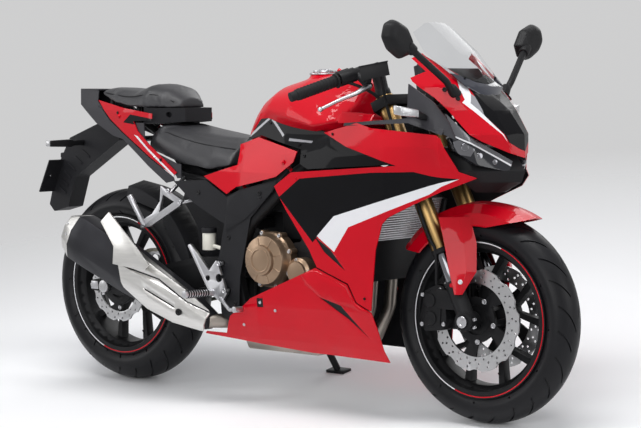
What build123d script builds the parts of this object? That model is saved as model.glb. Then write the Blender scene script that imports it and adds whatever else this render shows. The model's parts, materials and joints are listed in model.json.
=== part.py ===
# Fully faired sport bike, parked on its side stand with the steering straight.
# Pieces are drawn upright: x forward from the rear axle, y to the left, z up from the ground.
import os
from math import atan2, cos, degrees, hypot, radians, sin, sqrt

from build123d import *

# Overall sizes, millimetres and degrees
WHEELBASE = 1410
RAKE = 25.5
TRAIL = 102
LEAN = 10
FRONT_R, FRONT_HALF, FRONT_CROWN, FRONT_BEAD = 300, 60, 62, 45
REAR_R, REAR_HALF, REAR_CROWN, REAR_BEAD = 312, 80, 82, 61
REAR_AXLE = (0, REAR_R)
FRONT_AXLE = (WHEELBASE, FRONT_R)
AXLE_R, AXLE_BORE, AXLE_HALF = 12.5, 8.6, 128
PLAY = 0.3
PANEL = 3.5

# Steering head: the fork stands ahead of the steering axis
FORK_Y, FORK_R = 100, 27
FORK_X = FRONT_R * sin(radians(RAKE)) - TRAIL * cos(radians(RAKE))
AXLE_UP = FRONT_R * cos(radians(RAKE)) + TRAIL * sin(radians(RAKE))
FORK_AHEAD = (cos(radians(RAKE)), 0, sin(radians(RAKE)))
FORK_UP = (-sin(radians(RAKE)), 0, cos(radians(RAKE)))
HEAD = Plane(origin=(WHEELBASE + TRAIL, 0, 0), x_dir=FORK_AHEAD, z_dir=FORK_UP)
HEAD_LOW, HEAD_HIGH = 800, 972
STEM_R = 18
STEER_STOP = 34

# Side stand: hinge, folded direction and foot while it carries the bike
STAND_PIVOT = (596, 190, 226)
STAND_FOLDED = (-0.965, 0.16, 0.21)
STAND_X, STAND_OUT = 640, 276

# Fuel cap
CAP_X, CAP_Z, CAP_R = 807, 1000, 36
CAP_HINGE = (CAP_X + CAP_R + 10, 0, CAP_Z + 3.5)


def rod(start, end, radius, bore=0):
    axis = Vector(*end) - Vector(*start)
    plane = Plane(origin=start, z_dir=axis)
    solid = Solid.make_cylinder(radius, axis.length, plane)
    return solid - Solid.make_cylinder(bore, axis.length, plane) if bore else solid


def disc(centre, y_from, y_to, radius, bore=0):
    return rod((centre[0], y_from, centre[1]), (centre[0], y_to, centre[1]), radius, bore)


def prism(outline, y_from, y_to, corner=0):
    wire = Wire.make_polygon([(x, y_from, z) for x, z in outline], close=True)
    solid = Solid.extrude(Face(wire), Vector(0, y_to - y_from, 0))
    return solid.fillet(corner, solid.edges().filter_by(Axis.Y)) if corner else solid


def block(x_span, y_span, z_span):
    corners = [(x_span[0], z_span[0]), (x_span[1], z_span[0]), (x_span[1], z_span[1]), (x_span[0], z_span[1])]
    return prism(corners, *y_span)


def tube(points, radius, bend):
    path = Wire(FilletPolyline(*points, radius=bend).edges())
    return Solid.sweep(Face(Wire.make_circle(radius, Plane(origin=path @ 0, z_dir=path % 0))), path)


def lathe(profile, centre):
    wire = Wire.make_polygon([(0, y, r) for y, r in profile], close=True)
    return Solid.revolve(Face(wire), 360, Axis.Y).moved(Location((centre[0], 0, centre[1])))


def hull(sections):
    return Solid.make_loft([Wire.make_polygon(points, close=True) for points in sections], True)


def skin(rows, inward):
    shift = Vector(*inward)
    return hull([list(row) + [tuple(Vector(*p) + shift) for p in reversed(row)] for row in rows])


def side_skin(levels, table):
    rows = [[(x, -y, z) for y, z in zip(widths, levels)] for x, widths in table]
    return skin(rows, (0, PANEL, 0))


def trimmed(shape, outline, y_from=-500, y_to=0):
    return shape & prism(outline, y_from, y_to)


def merged(first, *others):
    for other in others:
        first = first + other
    return first


def pair(*shapes):
    return [
        solid
        for shape in shapes for half in (shape, mirror(shape, about=Plane.XZ)) for solid in half.solids()
    ]


def pegged(panel, pegs, *carriers):
    for start, end in pegs:
        panel = panel + rod(start, end, 6)
    for carrier in carriers:
        panel = panel - carrier
    return panel


def polar(centre, radius, angle):
    return (centre[0] + radius * sin(radians(angle)), centre[1] - radius * cos(radians(angle)))


def fork(shape):
    return shape.moved(HEAD.location)


def fork_point(x, y, z):
    return tuple(HEAD.from_local_coords((x, y, z)))


def upright(radius, x, y, z_from, z_to):
    return fork(Solid.make_cylinder(radius, z_to - z_from, Plane(origin=(x, y, z_from))))


# Wheels
def tyre(centre, radius, half, crown, bead):
    edge = 0.92 * half
    shoulder = radius - crown + sqrt(crown**2 - edge**2)
    bulge = 0.4 * shoulder + 143
    inner = edge - 9
    inner_up = radius - crown + sqrt((crown - 11) ** 2 - inner**2)
    parts = [
        ThreePointArc((-edge, shoulder), (0, radius), (edge, shoulder)),
        ThreePointArc((edge, shoulder), (half, bulge), (bead, 229)),
        Polyline((bead, 229), (bead, 216.5), (bead - 8, 216.5), (bead - 5, 229), (inner, inner_up)),
        ThreePointArc((inner, inner_up), (0, radius - 11), (-inner, inner_up)),
        Polyline((-inner, inner_up), (5 - bead, 229), (8 - bead, 216.5), (-bead, 216.5), (-bead, 229)),
        ThreePointArc((-bead, 229), (-half, bulge), (-edge, shoulder)),
    ]
    face = Face(Wire([edge for part in parts for edge in part.edges()])).moved(Plane.YZ.location)
    return Solid.revolve(face, 360, Axis.Y).moved(Location((centre[0], 0, centre[1])))


def rim(centre, bead, hub, bore):
    b = bead + 1
    barrel = [
        (b - 26, 197), (b - 14, 213.5), (b, 215), (b, 226), (b + 5, 226), (b + 5, 206), (b - 10, 201),
        (b - 22, 190),
    ]
    wheel = lathe(barrel + [(-y, r) for y, r in reversed(barrel)], centre)
    for angle in range(36, 396, 72):
        stem = [(30, angle - 25), (112, angle - 7.5), (112, angle + 7.5), (30, angle + 25)]
        legs = [
            [(98, angle), (194, angle + 15 * s), (194, angle + 21.5 * s), (98, angle + 8 * s)]
            for s in (-1, 1)
        ]
        for outline in [stem] + legs:
            wheel = wheel + prism([polar(centre, r, a) for r, a in outline], -15, 15)
    wheel = merged(
        wheel, disc(centre, -hub, hub, 38), disc(centre, -hub, 8 - hub, 64),
        disc(centre, hub - 8, hub, 64),
    )
    return wheel - disc(centre, -hub, hub, bore)


def brake_disc(centre, y_from, y_to, radius, inner):
    windows = disc(centre, y_from, y_to, inner, 66)
    for angle in range(0, 360, 72):
        arm = [(60, angle - 16), (inner + 6, angle - 24), (inner + 6, angle), (60, angle + 12)]
        windows = windows - prism([polar(centre, r, a) for r, a in arm], y_from, y_to)
    plate = disc(centre, y_from, y_to, radius, 42) - windows
    for angle in range(0, 360, 36):
        plate = plate - disc(polar(centre, radius + 33, angle), y_from, y_to, 40)
    return plate


FRONT_HUB, REAR_HUB, DISC_T = 57, 74, 5
front_tyre = [tyre(FRONT_AXLE, FRONT_R, FRONT_HALF, FRONT_CROWN, FRONT_BEAD)]
front_rim = [rim(FRONT_AXLE, FRONT_BEAD, FRONT_HUB, AXLE_R + PLAY)]
front_discs = pair(brake_disc(FRONT_AXLE, -FRONT_HUB - DISC_T, -FRONT_HUB, 148, 104))
front_axle = [disc(FRONT_AXLE, -AXLE_HALF, AXLE_HALF, AXLE_R, AXLE_BORE)]
rear_tyre = [tyre(REAR_AXLE, REAR_R, REAR_HALF, REAR_CROWN, REAR_BEAD)]
rear_rim = [rim(REAR_AXLE, REAR_BEAD, REAR_HUB, AXLE_R + PLAY)]
rear_disc = [brake_disc(REAR_AXLE, -REAR_HUB - DISC_T, -REAR_HUB, 120, 88)]

# Chain drive on the left
CHAIN_Y, CHAIN_HALF, CHAIN_T = 95, 8, 11
SPROCKET_R, DRIVE_R = 97, 34
DRIVE = (636, 402)
PITCH = 15.875
sprocket = disc(REAR_AXLE, CHAIN_Y - 3, CHAIN_Y + 3, SPROCKET_R, 42)
for angle in range(0, 360, 60):
    sprocket = sprocket - disc(polar(REAR_AXLE, 74, angle), CHAIN_Y - 3, CHAIN_Y + 3, 15)
rear_sprocket = [sprocket + disc(REAR_AXLE, REAR_HUB, CHAIN_Y - 3, 54, 42)]


def belt(near, near_r, far, far_r, half):
    span = hypot(far[0] - near[0], far[1] - near[1])
    slope = degrees(atan2(far[1] - near[1], far[0] - near[0]))
    lift = degrees(atan2(near_r - far_r, span))
    top = [polar(near, near_r, 180 + slope - lift), polar(far, far_r, 180 + slope - lift)]
    low = [polar(far, far_r, slope + lift), polar(near, near_r, slope + lift)]
    span_y = (CHAIN_Y - half, CHAIN_Y + half)
    return merged(prism(top + low, *span_y), disc(near, *span_y, near_r), disc(far, *span_y, far_r))


loop = belt(REAR_AXLE, SPROCKET_R + 1 + CHAIN_T, DRIVE, DRIVE_R + CHAIN_T, CHAIN_HALF)
drive_chain = [loop - belt(REAR_AXLE, SPROCKET_R + 1, DRIVE, DRIVE_R, CHAIN_HALF + 1)]

# Swingarm, rear axle and rear suspension
ARM_IN, ARM_OUT = 108, 134
PIVOT, PIVOT_R = (560, 400), 30
SPOOL, SPOOL_R, SPOOL_DEEP = (-42, 307), 4, 16
arm_side = [
    (-70, 296), (-70, 328), (60, 352), (400, 428), (560, 440), (598, 400), (560, 362), (400, 330),
    (60, 286),
]
arm = prism(arm_side, -ARM_OUT, -ARM_IN, 10) - disc(REAR_AXLE, -ARM_OUT, -ARM_IN, AXLE_R)
arm = arm - disc(SPOOL, -ARM_OUT, SPOOL_DEEP - ARM_OUT, SPOOL_R)
bridge = block((352, 440), (-ARM_IN - 4, ARM_IN + 4), (345, 405))
swingarm = [merged(bridge, *pair(arm), disc(PIVOT, -ARM_OUT, ARM_OUT, PIVOT_R))]
nuts = [disc(REAR_AXLE, side * ARM_OUT, side * (ARM_OUT + 16), 20) for side in (-1, 1)]
rear_axle = [merged(disc(REAR_AXLE, -ARM_OUT - 14, ARM_OUT + 14, AXLE_R), *nuts)]
guard_side = [(88, 262), (70, 326), (0, 342)]
guard_arch = guard_side + [(-y, r) for y, r in guard_side[-2::-1]]
guard = lathe(guard_arch + [(y * 0.955, r - 3.5) for y, r in reversed(guard_arch)], REAR_AXLE)
guard_cut = [(40, 800), (300, 800), (420, 500), (352, 406), (300, 380), (180, 560), (40, 600)]
rear_hugger = [(guard & prism(guard_cut, -84, 84)) + block((322, 430), (-60, 60), (405, 411))]

# Frame: head tube, side rails, pivot plates, seat rails, posts and the fairing stay
RAILS = (
    # name, radius, bend, points on the right side
    (
        "upper", 20, 40,
        [
            (1126, -24, 802), (1030, -58, 802), (955, -126, 790), (820, -150, 700), (640, -150, 545),
            (585, -150, 430),
        ],
    ),
    ("lower", 17, 36, [(1146, -24, 746), (1058, -40, 700), (1010, -142, 640), (960, -142, 560)]),
    (
        "seat", 12, 60,
        [(700, -146, 600), (560, -112, 655), (330, -104, 680), (150, -92, 730), (-60, -62, 866)],
    ),
    ("strut", 11, 40, [(605, -150, 520), (480, -122, 590), (330, -104, 676)]),
)
POSTS = (
    # radius, foot and top on the right side
    (9, (300, -103, 684), (300, -103, 732)),
    (9, (480, -108, 666), (480, -108, 712)),
    (8, (100, -85, 764), (100, -80, 900)),
    (8, (-40, -65, 852), (-40, -56, 926)),
    (10, (602, -121, 640), (606, -78, 782)),
    (9, (1272, 0, 890), (1272, -185, 890)),
    (8, (1272, -120, 890), (1372, -94, 916)),
    (9, (1272, -20, 890), (1334, -20, 790)),
)
CROSSBARS = (
    # radius, x, z, half length
    (16, 958, 810, 126),
    (10, 606, 782, 78),
    (16, 520, 655, 112),
    (9, 60, 788, 78),
    (10, 960, 560, 150),
)
frame = upright(33, 0, 0, HEAD_LOW, HEAD_HIGH) + rod(fork_point(20, 0, 905), fork_point(166, 0, 905), 14)
for name, radius, bend, points in RAILS:
    frame = merged(frame, *pair(tube(points, radius, bend)))
for radius, foot, top in POSTS:
    frame = merged(frame, *pair(rod(foot, top, radius)))
for radius, x, z, half in CROSSBARS:
    frame = frame + rod((x, -half, z), (x, half, z), radius)
plate_side = [
    (545, 470), (530, 330), (560, 290), (610, 262), (640, 262), (606, 380), (622, 470), (655, 545),
    (610, 560),
]
stand_plate = prism([(560, 300), (560, 190), (612, 190), (640, 264)], 138, 162)
frame = merged(
    frame, *pair(prism(plate_side, -162, -138, 6)), stand_plate,
    block((620, 660), (-150, 150), (530, 560)),
)
frame = frame - upright(STEM_R + PLAY, 0, 0, HEAD_LOW - 10, HEAD_HIGH + 10) - disc(
    PIVOT, -ARM_OUT - 3, ARM_OUT + 3, PIVOT_R + PLAY,
)
frame = merged(frame, *pair(disc(PIVOT, -166, -ARM_OUT, 14)))
rear_shock = block((440, 482), (-14, 14), (372, 424)) + rod((470, 0, 415), (519.5, 0, 645), 17)
rear_shock = [rear_shock + rod((474, 0, 440), (508, 0, 590), 38) - frame]

# Side stand: foot set on the ground as the bike leans
def ground_at(x, out):
    crown = FRONT_CROWN + (REAR_CROWN - FRONT_CROWN) * (1 - x / WHEELBASE)
    sunk = crown * (1 - cos(radians(LEAN)))
    return (x, out * cos(radians(LEAN)), out * sin(radians(LEAN)) - sunk * cos(radians(LEAN)))


STAND_FOOT = ground_at(STAND_X, STAND_OUT)
leg = Vector(*STAND_FOOT) - Vector(*STAND_PIVOT)
STAND_AXIS = leg.cross(Vector(*STAND_FOLDED)).normalized()
STAND_RANGE = leg.get_angle(Vector(*STAND_FOLDED))


def along_hinge(distance):
    return tuple(Vector(*STAND_PIVOT) + STAND_AXIS * distance)


stand = rod(STAND_PIVOT, tuple(Vector(*STAND_FOOT) - leg.normalized() * 8), 11) + rod(
    along_hinge(-13), along_hinge(13), 20,
)
pad = Plane(origin=STAND_FOOT, x_dir=(1, 0, 0), z_dir=(0, -sin(radians(LEAN)), cos(radians(LEAN))))
side_stand = [
    stand + Solid.make_box(70, 42, 8, Plane(pad.from_local_coords((-35, -21, 0)), pad.x_dir, pad.z_dir)),
]
frame = frame + rod(along_hinge(-50), along_hinge(-13.4), 18)

# Engine and its covers
CASE_HALF = 128
case_side = [(660, 470), (655, 300), (690, 215), (900, 215), (960, 300), (980, 400), (930, 470), (840, 500)]
barrel_side = [(800, 470), (935, 420), (1030, 640), (1010, 690), (900, 730), (880, 690)]
engine = prism(case_side, -CASE_HALF, CASE_HALF, 14) + prism(barrel_side, -118, 118, 10)
engine = engine + prism([(630, 470), (720, 470), (700, 545), (630, 545)], -40, 40)
engine = engine - block((600, 704), (82, 140), (330, 480)) + disc(DRIVE, 60, CHAIN_Y + 3, DRIVE_R)
engine = engine - frame
box_side = [
    (640, 580), (722, 580), (728, 500), (830, 500), (850, 590), (890, 690), (884, 768), (700, 782),
    (640, 760),
]
intake_box = [prism(box_side, -100, 100, 5) - engine - frame]
COVERS = (
    # side, centre, then steps of depth and radius
    ("clutch", -1, (722, 440), ((0, 84), (30, 84), (34, 80), (60, 72), (64, 46), (76, 44))),
    ("pump", -1, (838, 408), ((0, 44), (34, 44), (40, 34), (48, 32))),
    ("pulse", -1, (900, 300), ((0, 40), (16, 40), (20, 34))),
    ("generator", 1, (806, 370), ((0, 96), (30, 96), (48, 78), (54, 70))),
    ("starter", 1, (905, 440), ((0, 36), (24, 36), (30, 28))),
)


def cover(side, centre, steps):
    profile = [(side * (CASE_HALF + y), r) for y, r in steps]
    return lathe([(side * CASE_HALF, 0)] + profile + [(profile[-1][0], 0)], centre)


right = [cover(side, *rest) for name, side, *rest in COVERS if side < 0]
left = [cover(side, *rest) for name, side, *rest in COVERS if side > 0]
engine_covers_right = list(merged(*right).solids())
sprocket_cover = prism([(606, 440), (606, 360), (640, 340), (716, 345), (716, 460), (650, 460)], 106, 128, 10)
engine_covers_left = list(merged(*left, sprocket_cover - engine).solids())

# Cooling and exhaust
RAD_LOW, RAD_HIGH, RAD_T = (1054, 400), (1112, 640), 26
rad_side = [RAD_LOW, RAD_HIGH, (RAD_HIGH[0] + RAD_T, RAD_HIGH[1] - 8), (RAD_LOW[0] + RAD_T, RAD_LOW[1] - 8)]
radiator = [
    pegged(prism(rad_side, -158, 158), [((1116, y, 630), (1008, y, 636)) for y in (-140, 140)], frame),
]
HEADER = ((1000, 1, 610), (1040, 1, 560), (1018, 1, 300), (960, 1, 190), (800, 0.6, 172))
headers = prism([(560, 150), (840, 150), (860, 165), (850, 205), (600, 205), (545, 180)], -70, 70, 12)
headers = headers - prism([(575, 158), (836, 158), (840, 197), (600, 197)], -62, 62)
for y in (-48, 48):
    headers = headers + tube([(x, y * s, z) for x, s, z in HEADER], 19, [18, 90, 60])
headers = headers + tube([(610, -40, 182), (565, -105, 238), (500, -188, 242)], 22, 40)
MUFFLER = (
    # centre, half width, half height
    ((508, -182, 240), 28, 28),
    ((400, -186, 283), 44, 52),
    ((200, -197, 372), 56, 68),
    ((0, -208, 462), 58, 74),
    ((-34, -210, 477), 57, 73),
    ((-72, -212, 494), 44, 54),
)
MUFFLER_UP = Vector(0.415, 0, 0.91)
OVAL = ((1, 0.35), (0.62, 1), (-0.5, 1), (-1, 0.45), (-1, -0.45), (-0.5, -1), (0.62, -1), (1, -0.35))


def can(sections, grow=0):
    rings = []
    for centre, half_y, half_z in sections:
        spokes = [Vector(0, -a * (half_y + grow), 0) + MUFFLER_UP * (b * (half_z + grow)) for a, b in OVAL]
        rings.append([tuple(Vector(*centre) + spoke) for spoke in spokes])
    return hull(rings)


muffler_form = can(MUFFLER[:5])
muffler = [muffler_form - can(MUFFLER[1:4], -8)]
muffler_cap = [can(MUFFLER[4:]) - can(MUFFLER[4:], -14)]
exhaust_pipes = [headers - engine - muffler_form]
shield_form = can(MUFFLER[:4], 7) - can(MUFFLER[:4], 2)
shield_cut = [(120, 600), (96, 560), (168, 470), (196, 330), (330, 220), (520, 180), (520, 280), (300, 440)]
shield = trimmed(shield_form, shield_cut, -400, -205)
shield_pegs = [((395, -232, 285), (395, -200, 285)), ((215, -256, 370), (215, -220, 370))]
muffler_shield = [pegged(shield, shield_pegs, muffler_form)]

# Tank, fuel cap and seats, each a run of sections with arcs
TANK = (
    # x, bottom z, bottom half, lip half, lip z, shoulder half, shoulder z, top z
    (560, 790, 56, 66, 800, 56, 826, 838),
    (600, 790, 80, 98, 802, 74, 872, 898),
    (640, 800, 92, 114, 850, 90, 904, 934),
    (690, 806, 104, 130, 886, 108, 926, 964),
    (800, 808, 122, 166, 866, 136, 934, 992),
    (905, 816, 138, 190, 844, 138, 928, 998),
    (970, 828, 140, 186, 854, 124, 920, 990),
    (1008, 840, 124, 168, 862, 92, 912, 962),
)


def ring(points):
    edges = [Edge.make_line(*run) if len(run) == 2 else Edge.make_three_point_arc(*run) for run in points]
    return Wire(edges)


def tank_ring(x, low, low_half, lip_half, lip, top_half, shoulder, top):
    middle = (0.52 * (lip_half + top_half), 0.5 * (lip + shoulder))
    turn = [(low_half, low), (lip_half, lip), middle, (top_half, shoulder)]
    l = [Vector(x, y, z) for y, z in turn]
    r = [Vector(x, -y, z) for y, z in turn]
    runs = [(r[0], l[0]), (l[0], l[1]), l[1:], (l[3], Vector(x, 0, top), r[3]), r[:0:-1], (r[1], r[0])]
    return ring(runs)


tank = Solid.make_loft([tank_ring(*row) for row in TANK], True)
tank = tank + rod((CAP_X, 0, CAP_Z - 40), (CAP_X, 0, CAP_Z), CAP_R + 8)
hollow = [
    (x, low + 8, a - 12, b - 12, lip, c - 12, up - 8, top - 18)
    for x, low, a, b, lip, c, up, top in TANK[1:-1]
]
tank = tank - Solid.make_loft([tank_ring(*row) for row in hollow], True)
SHROUD = ((1000, 186, 850, 166, 890), (1066, 184, 852, 164, 888), (1132, 180, 856, 163, 884))
shroud = skin([[(x, -a, low), (x, -b, high)] for x, a, low, b, high in SHROUD], (0, PANEL, 0))
tank = merged(tank, *pair(shroud + block((986, 1004), (-170, -158), (852, 876))))
fuel_tank = [tank - rod((CAP_X, 0, CAP_Z - 30), (CAP_X, 0, CAP_Z + 1), CAP_R - 12) - frame]
lid = rod((CAP_X, 0, CAP_Z + 0.5), (CAP_X, 0, CAP_Z + 7), CAP_R)
knuckle = rod((CAP_HINGE[0], -12, CAP_HINGE[2]), (CAP_HINGE[0], 12, CAP_HINGE[2]), 3)
fuel_cap = [lid + knuckle + block((CAP_X + 20, CAP_HINGE[0]), (-9, 9), (CAP_Z + 0.5, CAP_Z + 6.5))]
RIDER = (
    # x, bottom half, bottom z, side half, side z, top half, top z
    (165, 98, 752, 102, 785, 72, 814),
    (212, 110, 746, 120, 795, 92, 838),
    (330, 134, 716, 138, 768, 100, 816),
    (470, 156, 702, 144, 748, 94, 796),
    (552, 148, 716, 122, 756, 74, 790),
)
PILLION = (
    (-96, 56, 930, 54, 938, 40, 946),
    (0, 98, 906, 94, 928, 76, 944),
    (88, 116, 892, 112, 918, 92, 936),
    (150, 118, 890, 110, 928, 78, 958),
    (214, 98, 889, 88, 926, 60, 950),
    (262, 58, 888, 50, 904, 34, 916),
)


def seat_ring(x, low_half, low, side_half, side, top_half, top):
    turn = [(low_half, low), (side_half, side), (top_half, top)]
    l = [Vector(x, y, z) for y, z in turn]
    r = [Vector(x, -y, z) for y, z in turn]
    return ring([(r[0], l[0]), l, (l[2], Vector(x, 0, top + 6), r[2]), r[::-1]])


rider_form = Solid.make_loft([seat_ring(*row) for row in RIDER], True)
pillion_form = Solid.make_loft([seat_ring(*row) for row in PILLION], True)
rider_seat = [rider_form - frame]
pillion_seat = [pillion_form - frame]

# Side and lower fairings, trimmed to their outlines seen from the side
SIDE_LEVELS = (870, 790, 735, 640, 540, 430, 300)
SIDE_TABLE = (
    (780, (186, 204, 216, 214, 209, 204, 194)),
    (1000, (186, 208, 222, 217, 212, 206, 196)),
    (1200, (200, 220, 226, 214, 206, 202, 196)),
    (1390, (214, 220, 206, 196, 194, 192, 190)),
    (1470, (150, 142, 124, 112, 110, 110, 110)),
)
side_form = side_skin(SIDE_LEVELS, SIDE_TABLE)
side_cut = [
    (788, 665), (855, 708), (1246, 738), (1057, 788), (965, 826), (1084, 856), (1141, 842), (1380, 826),
    (1393, 818), (1424, 724), (1460, 706), (1404, 676), (1294, 629), (1207, 589), (1186, 569), (1161, 495),
    (1139, 317), (1088, 338), (1059, 391.5), (944, 433.5), (918, 482), (830, 599),
]
side_pegs = [((1010, -216, 640), (1010, -142, 640)), ((880, -217, 690), (824, -150, 702))]
side_fairings = pair(pegged(trimmed(side_form, side_cut), side_pegs, frame))
LOW_LEVELS = (440, 380, 310, 240, 200, 160)
LOW_TABLE = (
    (450, (178, 178, 174, 166, 158, 142)),
    (700, (204, 202, 196, 186, 172, 142)),
    (950, (206, 205, 198, 182, 164, 134)),
    (1140, (206, 203, 196, 180, 168, 146)),
    (1215, (202, 200, 192, 178, 166, 148)),
)
low_form = side_skin(LOW_LEVELS, LOW_TABLE)
low_front = [
    (938, 431), (1056, 388), (1084, 336), (1139, 312), (1156, 250), (1163, 204), (1172, 166), (878, 170),
]
low_right = [(675, 322)] + low_front + [
    (594, 190), (459, 197), (466, 205), (554, 206), (580, 262), (641, 297),
]
low_left = [(675, 322)] + low_front + [(690, 184), (664, 300)]
low_pegs = [((930, -197, 340), (930, -120, 340)), ((724, -186, 262), (724, -120, 262))]
lower_right, lower_left = [pegged(trimmed(low_form, cut), low_pegs, engine) for cut in (low_right, low_left)]
lower_fairings = list(lower_right.solids()) + list(mirror(lower_left, about=Plane.XZ).solids())

# Nose: cowl, screen, lamps, duct, dash and inner panels
COWL = (
    # height, then plan points from the middle back along the right side
    (745, ((1534, 0), (1514, 44), (1472, 104), (1420, 150))),
    (827, ((1530, 0), (1510, 50), (1464, 118), (1390, 168))),
    (893, ((1480, 0), (1462, 60), (1422, 120), (1300, 178))),
    (960, ((1394, 0), (1388, 72), (1360, 138), (1230, 182))),
    (1056, ((1298, 0), (1292, 62), (1270, 120), (1200, 152))),
)


def cowl_row(z, plan, inset=0):
    half = [(x - inset, max(y - 0.8 * inset, 0)) for x, y in plan]
    return [(x, -y, z) for x, y in reversed(half)] + [(x, y, z) for x, y in half[1:]]


cowl_form = hull([cowl_row(z, plan) + cowl_row(z, plan, 5)[::-1] for z, plan in COWL])
cowl_cut = [
    (1545, 752), (1438, 827), (1366, 898), (1331, 928), (1261, 974), (1252, 985), (1290, 1003), (1240, 1040),
    (1262, 1054), (1401, 958), (1424, 938), (1545, 938),
]
SCREEN = (
    # height, middle x, edge x, half width
    (921, 1431, 1427, 16),
    (961, 1409, 1395, 92),
    (1058, 1328, 1280, 130),
    (1150, 1212, 1190, 98),
)


def screen_ring(z, middle, edge, half):
    front = [Vector(edge, -half, z), Vector(middle, 0, z), Vector(edge, half, z)]
    rear = [p - Vector(4, 0, 0) for p in front]
    return ring([front, (front[2], rear[2]), rear[::-1], (rear[0], front[0])])


screen_top = [(140, 900), (140, 1100), (94, 1122), (46, 1142), (0, 1146)]
screen_face = [(1150, -y, z) for y, z in screen_top] + [(1150, y, z) for y, z in screen_top[-2::-1]]
screen_cut = Solid.extrude(Face(Wire.make_polygon(screen_face, close=True)), Vector(320, 0, 0))
windscreen = [Solid.make_loft([screen_ring(*row) for row in SCREEN], True) & screen_cut]
MIRROR_STALK = [(1376, -100, 912), (1376, -160, 975), (1340, -280, 1066)]
MIRROR_HEAD = [
    (-385, 1096), (-372, 1135), (-340, 1147), (-290, 1128), (-258, 1080), (-275, 1045), (-310, 1034),
    (-360, 1060),
]
MIRROR_DEPTH = ((1312, 0.94), (1322, 1), (1340, 0.9), (1352, 0.62))
MIRROR_MID = (-320, 1092)


def mirror_ring(x, scale):
    return [
        (x, MIRROR_MID[0] + (y - MIRROR_MID[0]) * scale, MIRROR_MID[1] + (z - MIRROR_MID[1]) * scale)
        for y, z in MIRROR_HEAD
    ]


mirrors = pair(hull([mirror_ring(*row) for row in MIRROR_DEPTH]) + tube(MIRROR_STALK, 10, 18) - frame)
cowl_pegs = [((1296, -174, 945), (1272, -150, 890)), ((1296, 174, 945), (1272, 150, 890))]
stalk_holes = pair(rod(MIRROR_STALK[0], MIRROR_STALK[1], 10.4))
cowl = pegged(trimmed(cowl_form, cowl_cut, -300, 300), cowl_pegs, frame, windscreen[0], *stalk_holes)
upper_cowl = [max(cowl.solids(), key=lambda solid: solid.volume)]
LAMP = (
    # upper and lower points of the lens, from the side to the nose
    ((1376, -160, 884), (1412, -166, 780)),
    ((1434, -130, 822), (1456, -124, 742)),
    ((1514, -34, 752), (1504, -36, 722)),
)
LAMP_IN = Vector(-34, 16, 0)
lamp = hull(
    [[upper, lower, tuple(Vector(*lower) + LAMP_IN), tuple(Vector(*upper) + LAMP_IN)] for upper, lower in LAMP],
)
headlights = pair(lamp - upper_cowl[0])
DUCT = (
    # height, then plan points from the middle back along the right side
    (662, ((1464, 0), (1450, 30), (1426, 48), (1404, 56))),
    (692, ((1522, 0), (1502, 30), (1440, 84), (1390, 100))),
    (724, ((1534, 0), (1508, 36), (1440, 118), (1352, 146))),
    (790, ((1490, 0), (1470, 24), (1400, 112), (1330, 140))),
)


def duct_row(z, plan):
    return [(x, -y, z) for x, y in reversed(plan)] + [(x, y, z) for x, y in plan[1:]]


duct = hull([duct_row(*row) for row in DUCT])
for piece in [frame] + headlights + side_fairings + upper_cowl:
    duct = duct - piece
nose_duct = [max(duct.solids(), key=lambda solid: solid.volume)]
dash = prism([(1236, 905), (1262, 985), (1292, 975), (1268, 895)], -82, 82, 6) + rod(
    (1278, 0, 960), (1318, 0, 990), 12,
)
shelf = skin([[(1404, -58, 928), (1404, 58, 928)], [(1296, -108, 1012), (1296, 108, 1012)]], (-4, 0, -4))
instrument_panel = [dash + shelf - frame - upper_cowl[0] - windscreen[0]]
STRIP = (
    # lower and upper points, from the tank to the lamp
    ((1036, -196, 847), (1036, -192, 855)),
    ((1275, -204, 858), (1275, -190, 872)),
    ((1392, -206, 826), (1396, -198, 842)),
)
WING = (
    # upper and lower points, from the dash to the lamp
    ((1258, -180, 968), (1262, -192, 866)),
    ((1340, -170, 915), (1370, -204, 838)),
    ((1392, -172, 862), (1421, -176, 812)),
)
inner = skin(STRIP, (0, 4, 0)) + skin(WING, (0, 5, 0))
inner = inner - frame - upper_cowl[0] - lamp - side_fairings[0] - fuel_tank[0]
inner_panels = pair(max(inner.solids(), key=lambda solid: solid.volume))
SIGNAL = (
    (-192, ((1310, 866), (1336, 864), (1336, 880), (1310, 882))),
    (-232, ((1302, 878), (1334, 876), (1334, 896), (1302, 898))),
    (-290, ((1288, 884), (1318, 880), (1318, 906), (1288, 910))),
)
signal = hull([[(x, y, z) for x, z in outline] for y, outline in SIGNAL])
front_indicators = pair(signal - inner_panels[0])

# Covers under the tank and seat
TRIM_TABLE = (
    (596, (104, 118, 140, 168)), (780, (122, 150, 176, 188)), (960, (146, 168, 190, 204)),
    (1250, (190, 196, 206, 210)),
)
trim_form = side_skin((900, 820, 760, 700), TRIM_TABLE)
trim_cut = [
    (606, 794), (674, 888), (905, 838), (960, 822), (1057, 784), (1226, 740), (900, 718), (866, 732),
    (862, 774), (668, 812),
]
trim_pegs = [((850, -170, 790), (850, -146, 716))]
tank_trim = pair(pegged(trimmed(trim_form, trim_cut), trim_pegs, frame, fuel_tank[0], side_fairings[0]))
cover_form = side_skin(
    (820, 760, 700, 620),
    ((440, (150, 158, 172, 176)), (620, (132, 150, 176, 182)), (860, (176, 192, 196, 196))),
)
cover_cut = [
    (468, 684), (600, 722), (594, 784), (666, 806), (856, 768), (842, 737), (771, 691), (604, 655),
    (566, 633),
]
cover_pegs = [((800, -189, 738), (818, -150, 698)), ((604, -168, 690), (600, -122, 639))]
side_covers = pair(pegged(trimmed(cover_form, cover_cut), cover_pegs, frame, rider_form, tank_trim[0]))

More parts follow.
